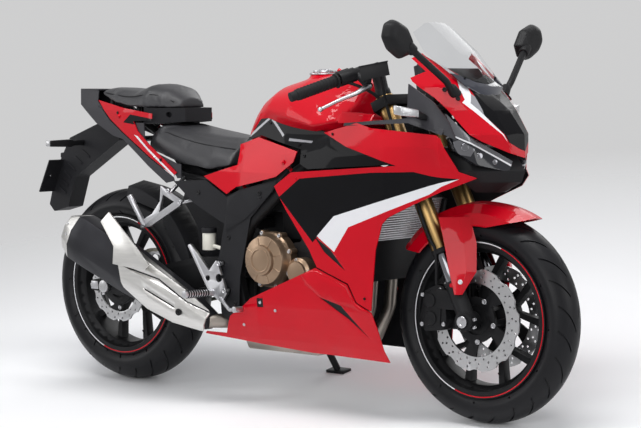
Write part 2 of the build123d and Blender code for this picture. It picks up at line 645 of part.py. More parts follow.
# Foot controls
FOOT_BOLTS = ((546, 420), (570, 338))
foot_side = [(536, 432), (578, 330), (556, 300), (505, 330), (415, 470), (428, 474), (505, 396)]
footrest = prism(foot_side, -192, -182, 4) - disc((546, 376), -200, -170, 13) - disc(
    (500, 374), -200, -170, 9,
)
PEDAL = [(548, -190, 316), (604, -208, 284), (668, -226, 292)]
footrest = merged(
    footrest, rod((520, -184, 330), (508, -306, 332), 11), tube(PEDAL, 6, 20),
    rod(PEDAL[2], (666, -258, 293), 9),
)
foot_pegs = [((x, -186, z), (x, -150, z)) for x, z in FOOT_BOLTS]
rider_rests = pair(pegged(footrest, foot_pegs, frame))
pillion_side = [
    (296, 650), (316, 640), (390, 606), (378, 590), (250, 520), (208, 512), (208, 534), (258, 560),
    (292, 600),
]
pillion_rest = prism(pillion_side, -186, -176, 3) - prism([(306, 622), (354, 601), (286, 564)], -190, -170)
pillion_rest = pillion_rest + rod((222, -186, 524), (180, -206, 616), 9)
pillion_rests = pair(
    pegged(pillion_rest, [((330, -178, 628), (330, -104, 680)), ((380, -178, 600), (430, -113, 616))], frame),
)
frame_form = side_skin(
    (740, 580, 420, 230),
    ((300, (156, 168, 172, 170)), (560, (172, 174, 174, 172)), (850, (178, 180, 180, 178))),
)
frame_cut = [
    (330, 664), (470, 672), (562, 624), (612, 646), (770, 684), (828, 727), (742, 641), (660, 563), (
        617, 383,
    ),
    (611, 275), (575, 241), (539, 265), (521, 422), (531, 445), (552, 541), (420, 600),
]
frame_pegs = [((602, -173, 300), (600, -150, 300)), ((700, -176, 630), (706, -150, 602))]
frame_cover = pegged(trimmed(frame_form, frame_cut), frame_pegs, frame, side_covers[0], rider_form)
for x, z in FOOT_BOLTS + ((330, 640), (390, 603)):
    frame_cover = frame_cover - disc((x, z), -200, -120, 9)
frame_covers = pair(frame_cover)
brake_reservoir = [
    rod((468, -150, 456), (468, -150, 510), 21) + rod((480, -150, 470), (560, -150, 455), 6) - frame,
]

# Tail: red panels, dark cover, lamp, seat bracket and plate hanger
TAIL_LEVELS = (965, 880, 780, 640)
TAIL_TABLE = (
    (-230, (34, 36, 36, 34)),
    (-100, (58, 72, 68, 60)),
    (60, (96, 114, 112, 104)),
    (200, (122, 140, 142, 138)),
    (350, (136, 152, 156, 154)),
)
tail_form = side_skin(TAIL_LEVELS, TAIL_TABLE)
tail_cut = [
    (-98, 912), (60, 888), (215, 872), (215, 850), (117, 847), (140, 815), (332, 690), (318, 678),
    (60, 810), (-20, 852),
]
tail_pegs = [((40, -110, 866), (20, -73, 814)), ((230, -143, 740), (230, -97, 708))]
tail_panels = pair(pegged(trimmed(tail_form, tail_cut), tail_pegs, frame, rider_form, pillion_form))
dark_cut = [
    (-211, 948), (-208, 897), (-109, 837), (-4, 798), (58, 788), (283, 656), (322, 664), (318, 674),
    (58, 806), (-24, 848), (-102, 908), (-104, 946),
]
dark_pegs = [((100, -120, 774), (95, -84, 766)), ((-88, -74, 894), (-58, -62, 865))]
dark = pair(pegged(trimmed(tail_form, dark_cut), dark_pegs, frame))
TAIL_TOP = ((-211, 37, 945), (-102, 63, 944))
tail_top = hull([[(x, -h, z), (x, h, z), (x, h, z + 4), (x, -h, z + 4)] for x, h, z in TAIL_TOP])
tail_cover = merged(tail_top, block((-211, -207), (-37, 37), (897, 949)), *dark)
LIGHT = ((-205, 32, 894, 900), (-112, 62, 838, 890), (-72, 70, 826, 880))
tail_light = hull([[(x, -h, low), (x, h, low), (x, h, high), (x, -h, high)] for x, h, low, high in LIGHT]) - tail_cover
infill_cut = [
    (124, 842), (170, 842), (174, 792), (235, 748), (330, 718), (466, 704), (466, 678), (332, 672), (318, 690),
    (138, 812),
]
infill = trimmed(tail_form.moved(Location((0, PANEL + 1, 0))), infill_cut)
infill = pegged(infill, [((290, -144, 724), (300, -103, 692))], frame, rider_form, tail_panels[0])
infill = max(infill.solids(), key=lambda solid: solid.volume)
tail_cover, tail_light = [tail_cover] + pair(infill), [
    max(tail_light.solids(), key=lambda solid: solid.volume),
]
BRACKET = ((160, 120, 838), (286, 62, 846))
bracket = hull([[(x, -h, low), (x, h, low), (x, h, 890), (x, -h, 890)] for x, h, low in BRACKET])
bracket = bracket - disc((236, 868), -124, -74, 9)
for piece in (rider_form, pillion_form, frame, *tail_panels):
    bracket = bracket - piece
seat_bracket = [max(bracket.solids(), key=lambda solid: solid.volume)]
PLATE_LOW, PLATE_HIGH, PLATE_HOLES, PLATE_HOLE_R = (-352, 605), (-302, 712), 145, 3.3
PLATE_MID = ((PLATE_LOW[0] + PLATE_HIGH[0]) / 2, 0, (PLATE_LOW[1] + PLATE_HIGH[1]) / 2)
PLATE_NORMAL = (PLATE_LOW[1] - PLATE_HIGH[1], 0, PLATE_HIGH[0] - PLATE_LOW[0])
hanger_side = [
    (-104, 846), (-50, 846), (-36, 782), (-245, 655), (-280, 553), (-348, 536), (-371, 559), (-335, 680),
    (-270, 785),
]
plate_side = [
    PLATE_LOW, PLATE_HIGH, (PLATE_HIGH[0] + 4, PLATE_HIGH[1] - 2), (PLATE_LOW[0] + 4, PLATE_LOW[1] - 2),
]
hanger = prism(hanger_side, -34, 34, 5) + prism(plate_side, -100, 100) - tail_light[0] - frame
for y in (-PLATE_HOLES / 2, PLATE_HOLES / 2):
    middle = Vector(PLATE_MID[0], y, PLATE_MID[2])
    across = Vector(*PLATE_NORMAL).normalized() * 12
    hanger = hanger - rod(tuple(middle - across), tuple(middle + across), PLATE_HOLE_R)
plate_hanger = [hanger]
SQUARE = ((-1, -1), (1, -1), (1, 1), (-1, 1))
BLINKER = ((-34, 9, 9), (-80, 9, 9), (-96, 14, 13), (-190, 12, 10))
blinker = [[(-209 + a * u, y, 770 + b * v) for u, v in SQUARE] for y, a, b in BLINKER]
rear_indicators = pair(hull(blinker))

# Fork, bars, front brakes and fender
fork_tubes = pair(upright(FORK_R, FORK_X, -FORK_Y, 534, 1012))
fork_stanchions = pair(upright(20.5, FORK_X, -FORK_Y, 430, 534))
fork_foot = upright(25, FORK_X, -FORK_Y, AXLE_UP, 430) + disc(FRONT_AXLE, -FORK_Y - 25, -FORK_Y + 25, 28)
fork_foot = fork_foot - disc(FRONT_AXLE, -FORK_Y - 26, -FORK_Y + 26, AXLE_R)
fork_feet = pair(fork_foot)
CLAMP_PLAN = ((-36, -34), (8, -134), (68, -134), (72, 0), (68, 134), (8, 134), (-36, 34))
clamp = Solid.extrude(
    Face(Wire.make_polygon([(x, y, 0) for x, y in CLAMP_PLAN], close=True)), Vector(0, 0, 30),
)
clamps = [fork(clamp.moved(Location((0, 0, z)))) for z in (HEAD_LOW - 34, HEAD_HIGH + 4)]
clamps = merged(*clamps, upright(STEM_R, 0, 0, HEAD_LOW - 20, HEAD_HIGH + 10))
triple_clamps = [clamps - fork_tubes[0] - fork_tubes[1]]
BAR_IN, BAR_OUT = Vector(1088, -104, 1019), Vector(975, -352, 931)


def on_bar(y):
    return tuple(BAR_IN + (BAR_OUT - BAR_IN) * ((y - BAR_IN.Y) / (BAR_OUT.Y - BAR_IN.Y)))


riser = upright(24, FORK_X, -FORK_Y, 1012, 1032) + rod(
    fork_point(FORK_X, -FORK_Y, 1024), (1086, -106, 1020), 20,
)
handlebars = pair(riser + rod(on_bar(-100), on_bar(-222), 11))
grips = pair(rod(on_bar(-222), on_bar(-340), 16.5) + rod(on_bar(-340), on_bar(-357), 14))
LEVER = [(1120, -182, 960), (1122, -230, 944), (1062, -330, 896)]
perch = merged(
    rod(on_bar(-150), on_bar(-172), 17), rod(on_bar(-172), on_bar(-216), 21),
    rod(on_bar(-164), LEVER[0], 12),
)
perch = perch - rod(on_bar(-120), on_bar(-221), 11)
levers = pair(tube(LEVER, 6.5, 24) - perch)
BOX_MID, BOX_ALONG = Vector(1142, -186, 1004), Vector(31, 25, 8)
BOX_ACROSS, BOX_UP = Vector(-12, 15, 0), Vector(-3, -2, 19)
box_ends = [
    [BOX_MID + BOX_ALONG * s + BOX_ACROSS * a + BOX_UP * b for a, b in ((-1, -1), (1, -1), (1, 1), (-1, 1))]
    for s in (-1, 1)
]
master = hull([[tuple(p) for p in end] for end in box_ends]) + rod((1126, -188, 996), (1112, -180, 962), 9)
bar_controls = pair(perch) + [master - perch - levers[0]]
ARCH = ((70, 270), (66, 304), (40, 329), (0, 335))
arch = list(ARCH) + [(-y, r) for y, r in ARCH[-2::-1]]
fender_form = lathe(arch + [(y * 0.95, r - 3.5) for y, r in reversed(arch)], FRONT_AXLE)
fender_cut = [
    (1404, 556), (1564, 588), (1580, 600), (1500, 700), (1250, 700), (1130, 520), (1150, 490), (1250, 476),
    (1330, 520),
]
FENDER_WING = (
    # height, then plan points from the tyre's side out around the fork leg
    (592, ((1392, 66), (1372, 92), (1330, 131))),
    (520, ((1418, 70), (1398, 104), (1350, 131))),
    (440, ((1428, 84), (1414, 114), (1368, 131))),
    (376, ((1402, 116), (1396, 124), (1386, 131))),
)
wing = skin([[(x, -y, z) for x, y in plan] for z, plan in FENDER_WING], (-4, 3.5, 0))
wing_pegs = [((1374, -129, 402), (1366, -110, 402))]
wings = pair(pegged(wing, wing_pegs, *fork_feet, *fork_stanchions, *fork_tubes))
front_fender = [merged(fender_form & prism(fender_cut, -84, 84), *wings)]
caliper_side = [(1244, 300), (1262, 378), (1306, 398), (1330, 392), (1338, 300), (1326, 268), (1262, 262)]
caliper = prism(caliper_side, -104, -32, 8) - disc(FRONT_AXLE, -FRONT_HUB - DISC_T - 2, 2 - FRONT_HUB, 152)
caliper = caliper + prism([(1310, 330), (1400, 330), (1390, 378), (1310, 388)], -112, -90) - fork_foot
front_calipers = pair(max(caliper.solids(), key=lambda solid: solid.volume))
rear_slot = disc(REAR_AXLE, -REAR_HUB - DISC_T - 2, 2 - REAR_HUB, 130)
rear_caliper = [prism([(40, 400), (60, 440), (118, 408), (104, 350), (70, 352)], -ARM_IN, -62, 6) - rear_slot]

BODIES = {
    "chassis": {
        "main_frame": [frame], "engine_block": [engine], "engine_covers": engine_covers_right + engine_covers_left,
        "intake_box": intake_box, "radiator": radiator, "exhaust_pipes": exhaust_pipes,
        "muffler": muffler, "muffler_cap": muffler_cap, "muffler_shield": muffler_shield, "fuel_tank": fuel_tank,
        "tank_trim": tank_trim, "seats": rider_seat + pillion_seat, "seat_bracket": seat_bracket,
        "side_fairings": side_fairings, "lower_fairings": lower_fairings, "upper_cowl": upper_cowl,
        "windscreen": windscreen, "headlights": headlights, "nose_duct": nose_duct, "inner_panels": inner_panels,
        "tail_panels": tail_panels, "tail_cover": tail_cover, "tail_light": tail_light, "side_covers": side_covers,
        "frame_covers": frame_covers, "plate_hanger": plate_hanger, "indicators": front_indicators + rear_indicators,
        "mirrors": mirrors, "instrument_panel": instrument_panel,
        "footrests": rider_rests + pillion_rests, "swingarm": swingarm,
        "rear_axle": rear_axle, "rear_shock": rear_shock, "drive_chain": drive_chain, "rear_hugger": rear_hugger,
        "rear_caliper": rear_caliper, "brake_reservoir": brake_reservoir,
    },
    "steering": {
        "triple_clamps": triple_clamps, "fork_tubes": fork_tubes, "fork_stanchions": fork_stanchions,
        "fork_feet": fork_feet, "front_axle": front_axle, "handlebars": handlebars, "grips": grips,
        "bar_controls": bar_controls, "levers": levers,
        "front_fender": front_fender, "front_calipers": front_calipers,
    },
    "front_wheel": {"front_tyre": front_tyre, "front_rim": front_rim, "front_discs": front_discs},
    "rear_wheel": {
        "rear_tyre": rear_tyre, "rear_rim": rear_rim, "rear_disc": rear_disc,
        "rear_sprocket": rear_sprocket,
    },
    "side_stand": {"side_stand": side_stand},
    "fuel_cap": {"fuel_cap": fuel_cap},
}

# Parked placement: leaned to the left with both tyres on the ground
rear_rise, front_rise = [crown * (1 - cos(radians(LEAN))) for crown in (REAR_CROWN, FRONT_CROWN)]
pitch = degrees(atan2(rear_rise - front_rise, WHEELBASE))
leaned = Location((0, 0, rear_rise)) * Location((0, 0, 0), (0, pitch, 0)) * Location((0, 0, 0), (-LEAN, 0, 0))
whole = Compound([solid for nodes in BODIES.values() for solids in nodes.values() for solid in solids])
box = whole.moved(leaned).bounding_box()
PARKED = Location((-box.center().X, -box.center().Y, 0)) * leaned

if __name__ == "__main__":
    os.makedirs("parts", exist_ok=True)
    for nodes in BODIES.values():
        for name, solids in nodes.items():
            export_step(Compound([solid.moved(PARKED) for solid in solids]), f"parts/{name}.step")
    print("size", [round(v, 1) for v in box.size], "stand swing", round(STAND_RANGE, 1))
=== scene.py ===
import json
import math
import bpy
from mathutils import Matrix, Vector

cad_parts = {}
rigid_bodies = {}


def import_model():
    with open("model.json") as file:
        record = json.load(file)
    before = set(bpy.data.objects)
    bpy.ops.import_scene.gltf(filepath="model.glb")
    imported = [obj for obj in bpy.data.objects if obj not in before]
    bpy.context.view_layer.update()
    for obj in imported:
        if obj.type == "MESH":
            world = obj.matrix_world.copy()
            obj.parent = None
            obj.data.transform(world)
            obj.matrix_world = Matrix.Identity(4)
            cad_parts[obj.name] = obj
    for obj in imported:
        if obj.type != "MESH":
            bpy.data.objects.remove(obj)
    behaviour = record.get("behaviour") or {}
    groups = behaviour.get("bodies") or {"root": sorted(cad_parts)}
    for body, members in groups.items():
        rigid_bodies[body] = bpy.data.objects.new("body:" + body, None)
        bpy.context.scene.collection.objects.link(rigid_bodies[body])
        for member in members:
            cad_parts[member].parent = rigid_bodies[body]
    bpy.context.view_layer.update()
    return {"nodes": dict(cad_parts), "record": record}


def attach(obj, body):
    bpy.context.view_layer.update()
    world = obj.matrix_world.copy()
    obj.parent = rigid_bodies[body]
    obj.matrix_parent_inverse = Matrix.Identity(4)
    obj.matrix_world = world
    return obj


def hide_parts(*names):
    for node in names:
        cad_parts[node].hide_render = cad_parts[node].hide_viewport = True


bpy.ops.object.select_all(action="SELECT")
bpy.ops.object.delete()  # Blender's starting objects
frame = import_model()
record = frame["record"]
bodyOf = {node: body for body, nodes in record["behaviour"]["bodies"].items() for node in nodes}
print("frame loaded:", len(frame["nodes"]), "nodes")

# the bike's own upright frame, in mm, set down as it is parked
parked = {"lean": -10.0, "pitch": 0.01235, "rearRadius": 0.312}
turned = Matrix.Rotation(math.radians(parked["pitch"]), 4, "Y") @ Matrix.Rotation(math.radians(parked["lean"]), 4, "X")
rearHub = next(Vector(j["pos_m"]) for j in record["behaviour"]["joints"] if j["name"] == "rear_wheel_spin")
toFloor = Matrix.Translation(rearHub - turned @ Vector((0, 0, parked["rearRadius"]))) @ turned
toBike = toFloor.inverted()
floorTurn, bikeTurn = toFloor.to_3x3(), toBike.to_3x3()


def mm(*point):
    return Vector(point) / 1000


def leaveEdit():
    bpy.ops.object.mode_set(mode="OBJECT")


def settle():
    bpy.ops.object.transform_apply(location=True, rotation=True, scale=True)


def only(piece):
    if bpy.context.object and bpy.context.object.mode != "OBJECT":
        leaveEdit()
    bpy.ops.object.select_all(action="DESELECT")
    piece.select_set(True)
    bpy.context.view_layer.objects.active = piece


def editAll(piece):
    only(piece)
    bpy.ops.object.mode_set(mode="EDIT")
    bpy.ops.mesh.select_all(action="SELECT")


def pickFaces(piece, test):
    only(piece)
    for face in piece.data.polygons:
        face.select = test(face)
    for edge in piece.data.edges:
        edge.select = False
    for vert in piece.data.vertices:
        vert.select = False
    for face in piece.data.polygons:
        if face.select:
            for index in face.vertices:
                piece.data.vertices[index].select = True
    bpy.ops.object.mode_set(mode="EDIT")
    bpy.ops.mesh.select_mode(type="FACE")


def applyModifier(piece, kind, **values):
    only(piece)
    modifier = piece.modifiers.new(kind.title(), kind)
    for name, value in values.items():
        setattr(modifier, name, value)
    bpy.ops.object.modifier_apply(modifier=modifier.name)


def softEdges(piece, width, segments=2, angle=35):
    applyModifier(
        piece, "BEVEL", width=width / 1000, segments=segments, limit_method="ANGLE", angle_limit=math.radians(angle),
    )


def smooth(piece, angle=35):
    only(piece)
    bpy.ops.object.shade_smooth_by_angle(angle=math.radians(angle))


def joined(pieces, name):
    only(pieces[0])
    for piece in pieces:
        piece.select_set(True)
    if len(pieces) > 1:
        bpy.ops.object.join()
    bpy.context.object.name = name
    return bpy.context.object


def coatWith(piece, finish):
    piece.data.materials.clear()
    piece.data.materials.append(finish)


def copyOf(mesh, name):
    piece = bpy.data.objects.new(name, mesh.copy())
    bpy.context.scene.collection.objects.link(piece)
    return piece


def layDown(piece):
    only(piece)
    piece.matrix_world = toFloor @ piece.matrix_world
    settle()


# a piece drawn upright is laid down with the bike and rides on its body
def setDown(piece, body, finish, angle=35):
    layDown(piece)
    smooth(piece, angle)
    coatWith(piece, finish)
    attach(piece, body)
    return piece


# Finishes: each has its own tint drift, roughness drift and surface grain
def finishOf(
    name, color, rough=0.4, metal=0.0, coat=0.0, drift=0.06, grain=0.0, grainSize=400, stretch=(1, 1, 1),
    kind="NOISE", shine=0.2,
):
    finish = bpy.data.materials.new(name)
    finish.use_nodes = True
    nodes, links = finish.node_tree.nodes, finish.node_tree.links
    shader = nodes["Principled BSDF"]
    shader.inputs["Metallic"].default_value = metal
    shader.inputs["Coat Weight"].default_value = coat
    shader.inputs["Specular IOR Level"].default_value = 0.5 if metal > 0.5 else shine
    shader.inputs["Coat Roughness"].default_value = 0.04
    place = nodes.new("ShaderNodeTexCoord")
    spread = nodes.new("ShaderNodeMapping")
    spread.inputs["Scale"].default_value = stretch
    links.new(place.outputs["Object"], spread.inputs["Vector"])
    cloud = nodes.new("ShaderNodeTexNoise")
    cloud.inputs["Scale"].default_value = 9
    cloud.inputs["Detail"].default_value = 4
    links.new(spread.outputs["Vector"], cloud.inputs["Vector"])
    tint = nodes.new("ShaderNodeValToRGB")
    tint.color_ramp.elements[0].position, tint.color_ramp.elements[1].position = 0.3, 0.7
    tint.color_ramp.elements[0].color = [c * (1 - drift) for c in color] + [1]
    tint.color_ramp.elements[1].color = [min(c * (1 + drift), 1) for c in color] + [1]
    links.new(cloud.outputs["Fac"], tint.inputs["Fac"])
    links.new(tint.outputs["Color"], shader.inputs["Base Color"])
    wear = nodes.new("ShaderNodeMapRange")
    wear.inputs["To Min"].default_value, wear.inputs["To Max"].default_value = rough * 0.85, min(rough * 1.2, 1)
    links.new(cloud.outputs["Fac"], wear.inputs["Value"])
    links.new(wear.outputs["Result"], shader.inputs["Roughness"])
    if grain:
        skin = nodes.new("ShaderNodeTexVoronoi" if kind == "CELLS" else "ShaderNodeTexNoise")
        skin.inputs["Scale"].default_value = grainSize
        links.new(spread.outputs["Vector"], skin.inputs["Vector"])
        bump = nodes.new("ShaderNodeBump")
        bump.inputs["Strength"].default_value = grain
        bump.inputs["Distance"].default_value = 0.0006
        links.new(skin.outputs[0], bump.inputs["Height"])
        links.new(bump.outputs["Normal"], shader.inputs["Normal"])
    return finish


def glassOf(name, color, rough=0.02):
    finish = finishOf(name, color, rough, drift=0.02)
    shader = finish.node_tree.nodes["Principled BSDF"]
    shader.inputs["Transmission Weight"].default_value = 1.0
    shader.inputs["IOR"].default_value = 1.08
    shader.inputs["Specular IOR Level"].default_value = 0.08
    return finish


red = finishOf("redPaint", (0.55, 0.0008, 0.011), 0.38, coat=0.4, drift=0.03, grain=0.03, grainSize=900, shine=0.04)
deepBlack = finishOf(
    "blackPaint", (0.004, 0.004, 0.005), 0.35, coat=0.16, drift=0.1, grain=0.03, grainSize=900, shine=0.04,
)
white = finishOf("whitePaint", (0.8, 0.8, 0.82), 0.25, coat=1.0, drift=0.02, grain=0.03, grainSize=900)
silverPaint = finishOf("greyPaint", (0.26, 0.26, 0.28), 0.28, coat=1.0, drift=0.04, grain=0.05, grainSize=1200)
satinGrey = finishOf("satinGrey", (0.035, 0.034, 0.039), 0.45, drift=0.06, grain=0.12, grainSize=1100)
matteBlack = finishOf("matteBlack", (0.009, 0.009, 0.01), 0.48, drift=0.12, grain=0.2, grainSize=1400)
mouldedBlack = finishOf(
    "mouldedBlack", (0.011, 0.011, 0.013), 0.55, drift=0.12, grain=0.35, grainSize=900, kind="CELLS",
)
castBlack = finishOf("castBlack", (0.012, 0.012, 0.013), 0.42, metal=0.3, drift=0.14, grain=0.3, grainSize=700)
bronze = finishOf("bronzeCover", (0.31, 0.215, 0.145), 0.34, metal=0.85, drift=0.08, grain=0.12, grainSize=900)
gold = finishOf("goldTube", (0.33, 0.21, 0.085), 0.3, metal=1.0, drift=0.04, grain=0.02, grainSize=500)
# chrome with its colour darkened: a painted dark reflection of the surroundings, on the fork stanchions and the lamp
# reflectors
darkReflectionChrome = finishOf("darkReflectionChrome", (0.2, 0.2, 0.215), 0.12, metal=1.0, drift=0.03)
chrome = finishOf("chrome", (0.78, 0.78, 0.8), 0.08, metal=1.0, drift=0.02)
steel = finishOf("discSteel", (0.5, 0.5, 0.51), 0.3, metal=1.0, drift=0.04, grain=0.03, grainSize=600)
brushed = finishOf(
    "brushedShield", (0.66, 0.65, 0.63), 0.32, metal=1.0, drift=0.06, grain=0.22, grainSize=160, stretch=(1, 14, 14),
)
alloy = finishOf("bareAlloy", (0.5, 0.5, 0.52), 0.32, metal=1.0, drift=0.07, grain=0.12, grainSize=700)
heated = finishOf("heatedSteel", (0.3, 0.27, 0.24), 0.38, metal=1.0, drift=0.22, grain=0.12, grainSize=300)
# dark muffler metal; the same colour paints the shade in the heat shield's crease
darkMetalAndCreaseShade = finishOf("darkMufflerAndCreaseShade", (0.03, 0.03, 0.034), 0.4, metal=0.5, drift=0.1, grain=0.16, grainSize=600)
rubber = finishOf("rubber", (0.011, 0.011, 0.012), 0.62, drift=0.16, grain=0.3, grainSize=700)
tread = finishOf("tyreRubber", (0.007, 0.007, 0.0085), 0.42, drift=0.2, grain=0.22, grainSize=500, shine=0.2)
vinyl = finishOf(
    "seatVinyl", (0.024, 0.024, 0.027), 0.42, drift=0.12, grain=0.4, grainSize=620, kind="CELLS", shine=0.45,
)
chainSteel = finishOf("chainSteel", (0.34, 0.32, 0.27), 0.36, metal=1.0, drift=0.14, grain=0.1)
clearGlass = glassOf("clearScreen", (0.9, 0.91, 0.925))
lampGlass = finishOf("lampLens", (0.014, 0.015, 0.019), 0.1, coat=0.5, drift=0.3)
redLens = finishOf("tailLens", (0.09, 0.004, 0.006), 0.1, coat=1.0, drift=0.2, grain=0.3, grainSize=420, kind="CELLS")
clearLens = finishOf(
    "signalLens", (0.46, 0.46, 0.47), 0.12, metal=0.5, coat=1.0, drift=0.12, grain=0.6, grainSize=330, kind="CELLS",
)
milky = finishOf("reservoirPlastic", (0.72, 0.7, 0.62), 0.35, drift=0.05, grain=0.05)
screenBand = finishOf("screenBand", (0.02, 0.022, 0.035), 0.1, coat=1.0, drift=0.2)
print("finishes made")


# a CAD node's mesh with its seams merged, left in edit mode with all of it picked
def mergedCopy(node, name):
    piece = copyOf(frame["nodes"][node].data, name)
    editAll(piece)
    bpy.ops.mesh.remove_doubles(threshold=0.00002)
    bpy.ops.mesh.select_all(action="SELECT")
    return piece


# CAD forms carried over: a merged copy with softened edges
def carried(node, finish, edge, angle):
    piece = mergedCopy(node, node + "_dressed")
    bpy.ops.mesh.dissolve_limited(angle_limit=math.radians(0.4))
    leaveEdit()
    coatWith(piece, finish)
    softEdges(piece, edge)
    smooth(piece, angle)
    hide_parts(node)
    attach(piece, bodyOf[node])
    return piece


plainNodes = {
    "main_frame": (castBlack, 1.2), "intake_box": (matteBlack, 3.0), "engine_block": (castBlack, 2.0),
    "engine_covers": (bronze, 2.0), "radiator": (matteBlack, 1.0), "exhaust_pipes": (heated, 0.6),
    "muffler": (darkMetalAndCreaseShade, 3.0), "muffler_cap": (brushed, 2.0), "muffler_shield": (brushed, 1.0),
    "fuel_tank": (red, 3.0), "tank_trim": (deepBlack, 0.8), "seat_bracket": (mouldedBlack, 3.0),
    "side_fairings": (red, 1.0), "lower_fairings": (red, 1.0), "upper_cowl": (red, 1.0),
    "windscreen": (clearGlass, 1.0), "headlights": (lampGlass, 1.0), "nose_duct": (matteBlack, 2.5),
    "inner_panels": (satinGrey, 1.0), "tail_panels": (red, 1.0), "tail_cover": (satinGrey, 1.0),
    "tail_light": (redLens, 2.0), "side_covers": (red, 1.0), "frame_covers": (mouldedBlack, 1.0),
    "plate_hanger": (mouldedBlack, 2.5), "indicators": (matteBlack, 3.0), "mirrors": (matteBlack, 2.0),
    "instrument_panel": (matteBlack, 2.0), "footrests": (alloy, 1.5), "swingarm": (castBlack, 3.0),
    "rear_axle": (steel, 1.5), "rear_shock": (matteBlack, 1.0), "rear_hugger": (mouldedBlack, 1.0),
    "rear_caliper": (castBlack, 2.5), "brake_reservoir": (milky, 2.0), "triple_clamps": (castBlack, 3.0),
    # the fork stanchions take chrome darkened as a painted dark reflection
    "fork_tubes": (gold, 1.0), "fork_stanchions": (darkReflectionChrome, 0.6), "fork_feet": (castBlack, 2.0),
    "front_axle": (steel, 1.0), "handlebars": (matteBlack, 1.0), "grips": (rubber, 1.5),
    "bar_controls": (matteBlack, 2.0), "front_fender": (red, 1.0), "front_calipers": (castBlack, 3.0),
    "front_rim": (castBlack, 1.6), "front_discs": (steel, 0.5), "rear_rim": (castBlack, 1.6),
    "rear_disc": (steel, 0.5), "rear_sprocket": (alloy, 0.8), "side_stand": (castBlack, 1.5),
    "fuel_cap": (alloy, 1.2),
}
curvedPanels = {
    "front_fender": 55, "upper_cowl": 42, "tank_trim": 50, "side_covers": 45, "tail_panels": 42, "muffler": 45,
    "rear_hugger": 50,
}
dressed = {
    node: carried(node, finish, edge, curvedPanels.get(node, 35))
    for node, (finish, edge) in plainNodes.items()
}
print("forms dressed:", len(dressed))


# A solid with flat facets, remeshed and rounded where the test says
def rounded(piece, voxel, rounds, test):
    only(piece)
    piece.data.remesh_voxel_size = voxel / 1000
    bpy.ops.object.voxel_remesh()
    picked = piece.vertex_groups.new(name="rounded")
    for vert in piece.data.vertices:
        picked.add([vert.index], 1.0 if test(toBike @ vert.co * 1000) else 0.12, "REPLACE")
    applyModifier(piece, "SMOOTH", factor=0.5, iterations=rounds, vertex_group="rounded")
    piece.vertex_groups.clear()
    smooth(piece, 60)


roundForms = {
    "fuel_tank": {"voxel": 4.0, "rounds": 48, "test": lambda spot: spot.z < 990},
    "mirrors": {"voxel": 2.6, "rounds": 80, "test": lambda spot: abs(spot.y) > 290},
}
for node, form in roundForms.items():
    rounded(dressed[node], **form)
print("tank and mirrors rounded")


# Colour regions: the panel is cut along each outline, then the faces inside take the finish
def paint(piece, regions, view):
    editAll(piece)
    bpy.ops.mesh.quads_convert_to_tris()
    leaveEdit()
    frontOn = view == "front"
    lines = set()
    for finish, outline in regions:
        for a, b in zip(outline, outline[1:] + outline[:1]):
            lines.add((a, b))
            if frontOn:
                lines.add(((-a[0], a[1]), (-b[0], b[1])))
    for a, b in sorted(lines):
        across = Vector((b[0] - a[0], b[1] - a[1]))
        if across.length == 0:
            continue
        point = mm(0, a[0], a[1]) if frontOn else mm(a[0], 0, a[1])
        normal = Vector((0, across.y, -across.x)) if frontOn else Vector((across.y, 0, -across.x))
        editAll(piece)
        bpy.ops.mesh.bisect(plane_co=toFloor @ point, plane_no=floorTurn @ normal.normalized(), threshold=0.000005)
        leaveEdit()
    slots = {}
    for finish, outline in regions:
        if finish.name not in slots:
            piece.data.materials.append(finish)
            slots[finish.name] = len(piece.data.materials) - 1
    for face in piece.data.polygons:
        spot = toBike @ face.center * 1000
        u, v = (abs(spot.y), spot.z) if frontOn else (spot.x, spot.z)
        for finish, outline in regions:
            if inside(u, v, outline):
                face.material_index = slots[finish.name]


def inside(u, v, outline):
    odd = False
    for (a, b), (c, d) in zip(outline, outline[1:] + outline[:1]):
        if (b > v) != (d > v) and u < (c - a) * (v - b) / (d - b) + a:
            odd = not odd
    return odd


sideGraphic = {
    "black": [
        (807, 634), (888, 691), (1156, 716), (1302, 722), (1356, 712), (1426, 704), (1350, 684), (1015, 586),
        (952, 525), (932, 505),
    ],
    "white": [(1426, 704), (1350, 684), (1015, 586), (949, 525), (1012, 482), (1066, 556), (1349, 660)],
}
paint(dressed["side_fairings"], [(deepBlack, sideGraphic["black"]), (white, sideGraphic["white"])], "side")
cowlGraphic = {
    "white": [
        (118, 1056), (104, 1056), (70, 979), (81, 941), (101, 914), (85, 879), (51, 806), (122, 916), (110, 924),
        (104, 953), (86, 984),
    ],
    "grey": [(81, 941), (76, 932), (85, 885), (85, 879), (101, 914)],
    "black": [(0, 1010), (62, 1010), (72, 972), (76, 932), (85, 885), (85, 879), (48, 805), (14, 785), (0, 780)],
}
paint(
    dressed["upper_cowl"],
    [(white, cowlGraphic["white"]), (silverPaint, cowlGraphic["grey"]), (deepBlack, cowlGraphic["black"])], "front",
)
paint(
    dressed["windscreen"], [(screenBand, [(0, 900), (150, 900), (150, 1004), (96, 996), (44, 972), (0, 966)])],
    "front",
)
lampGraphic = {
    "bar": [(190, 910), (190, 846), (30, 739), (30, 780)],
    "line": [(190, 846), (190, 841), (30, 734), (30, 739)],
    "cup": [(168, 806), (150, 812), (122, 786), (134, 766), (160, 772)],
}
lampBar = finishOf(
    "lampBar", (0.1, 0.1, 0.11), 0.25, metal=0.6, coat=1.0, drift=0.1, grain=0.5, grainSize=60, stretch=(1, 6, 1),
)
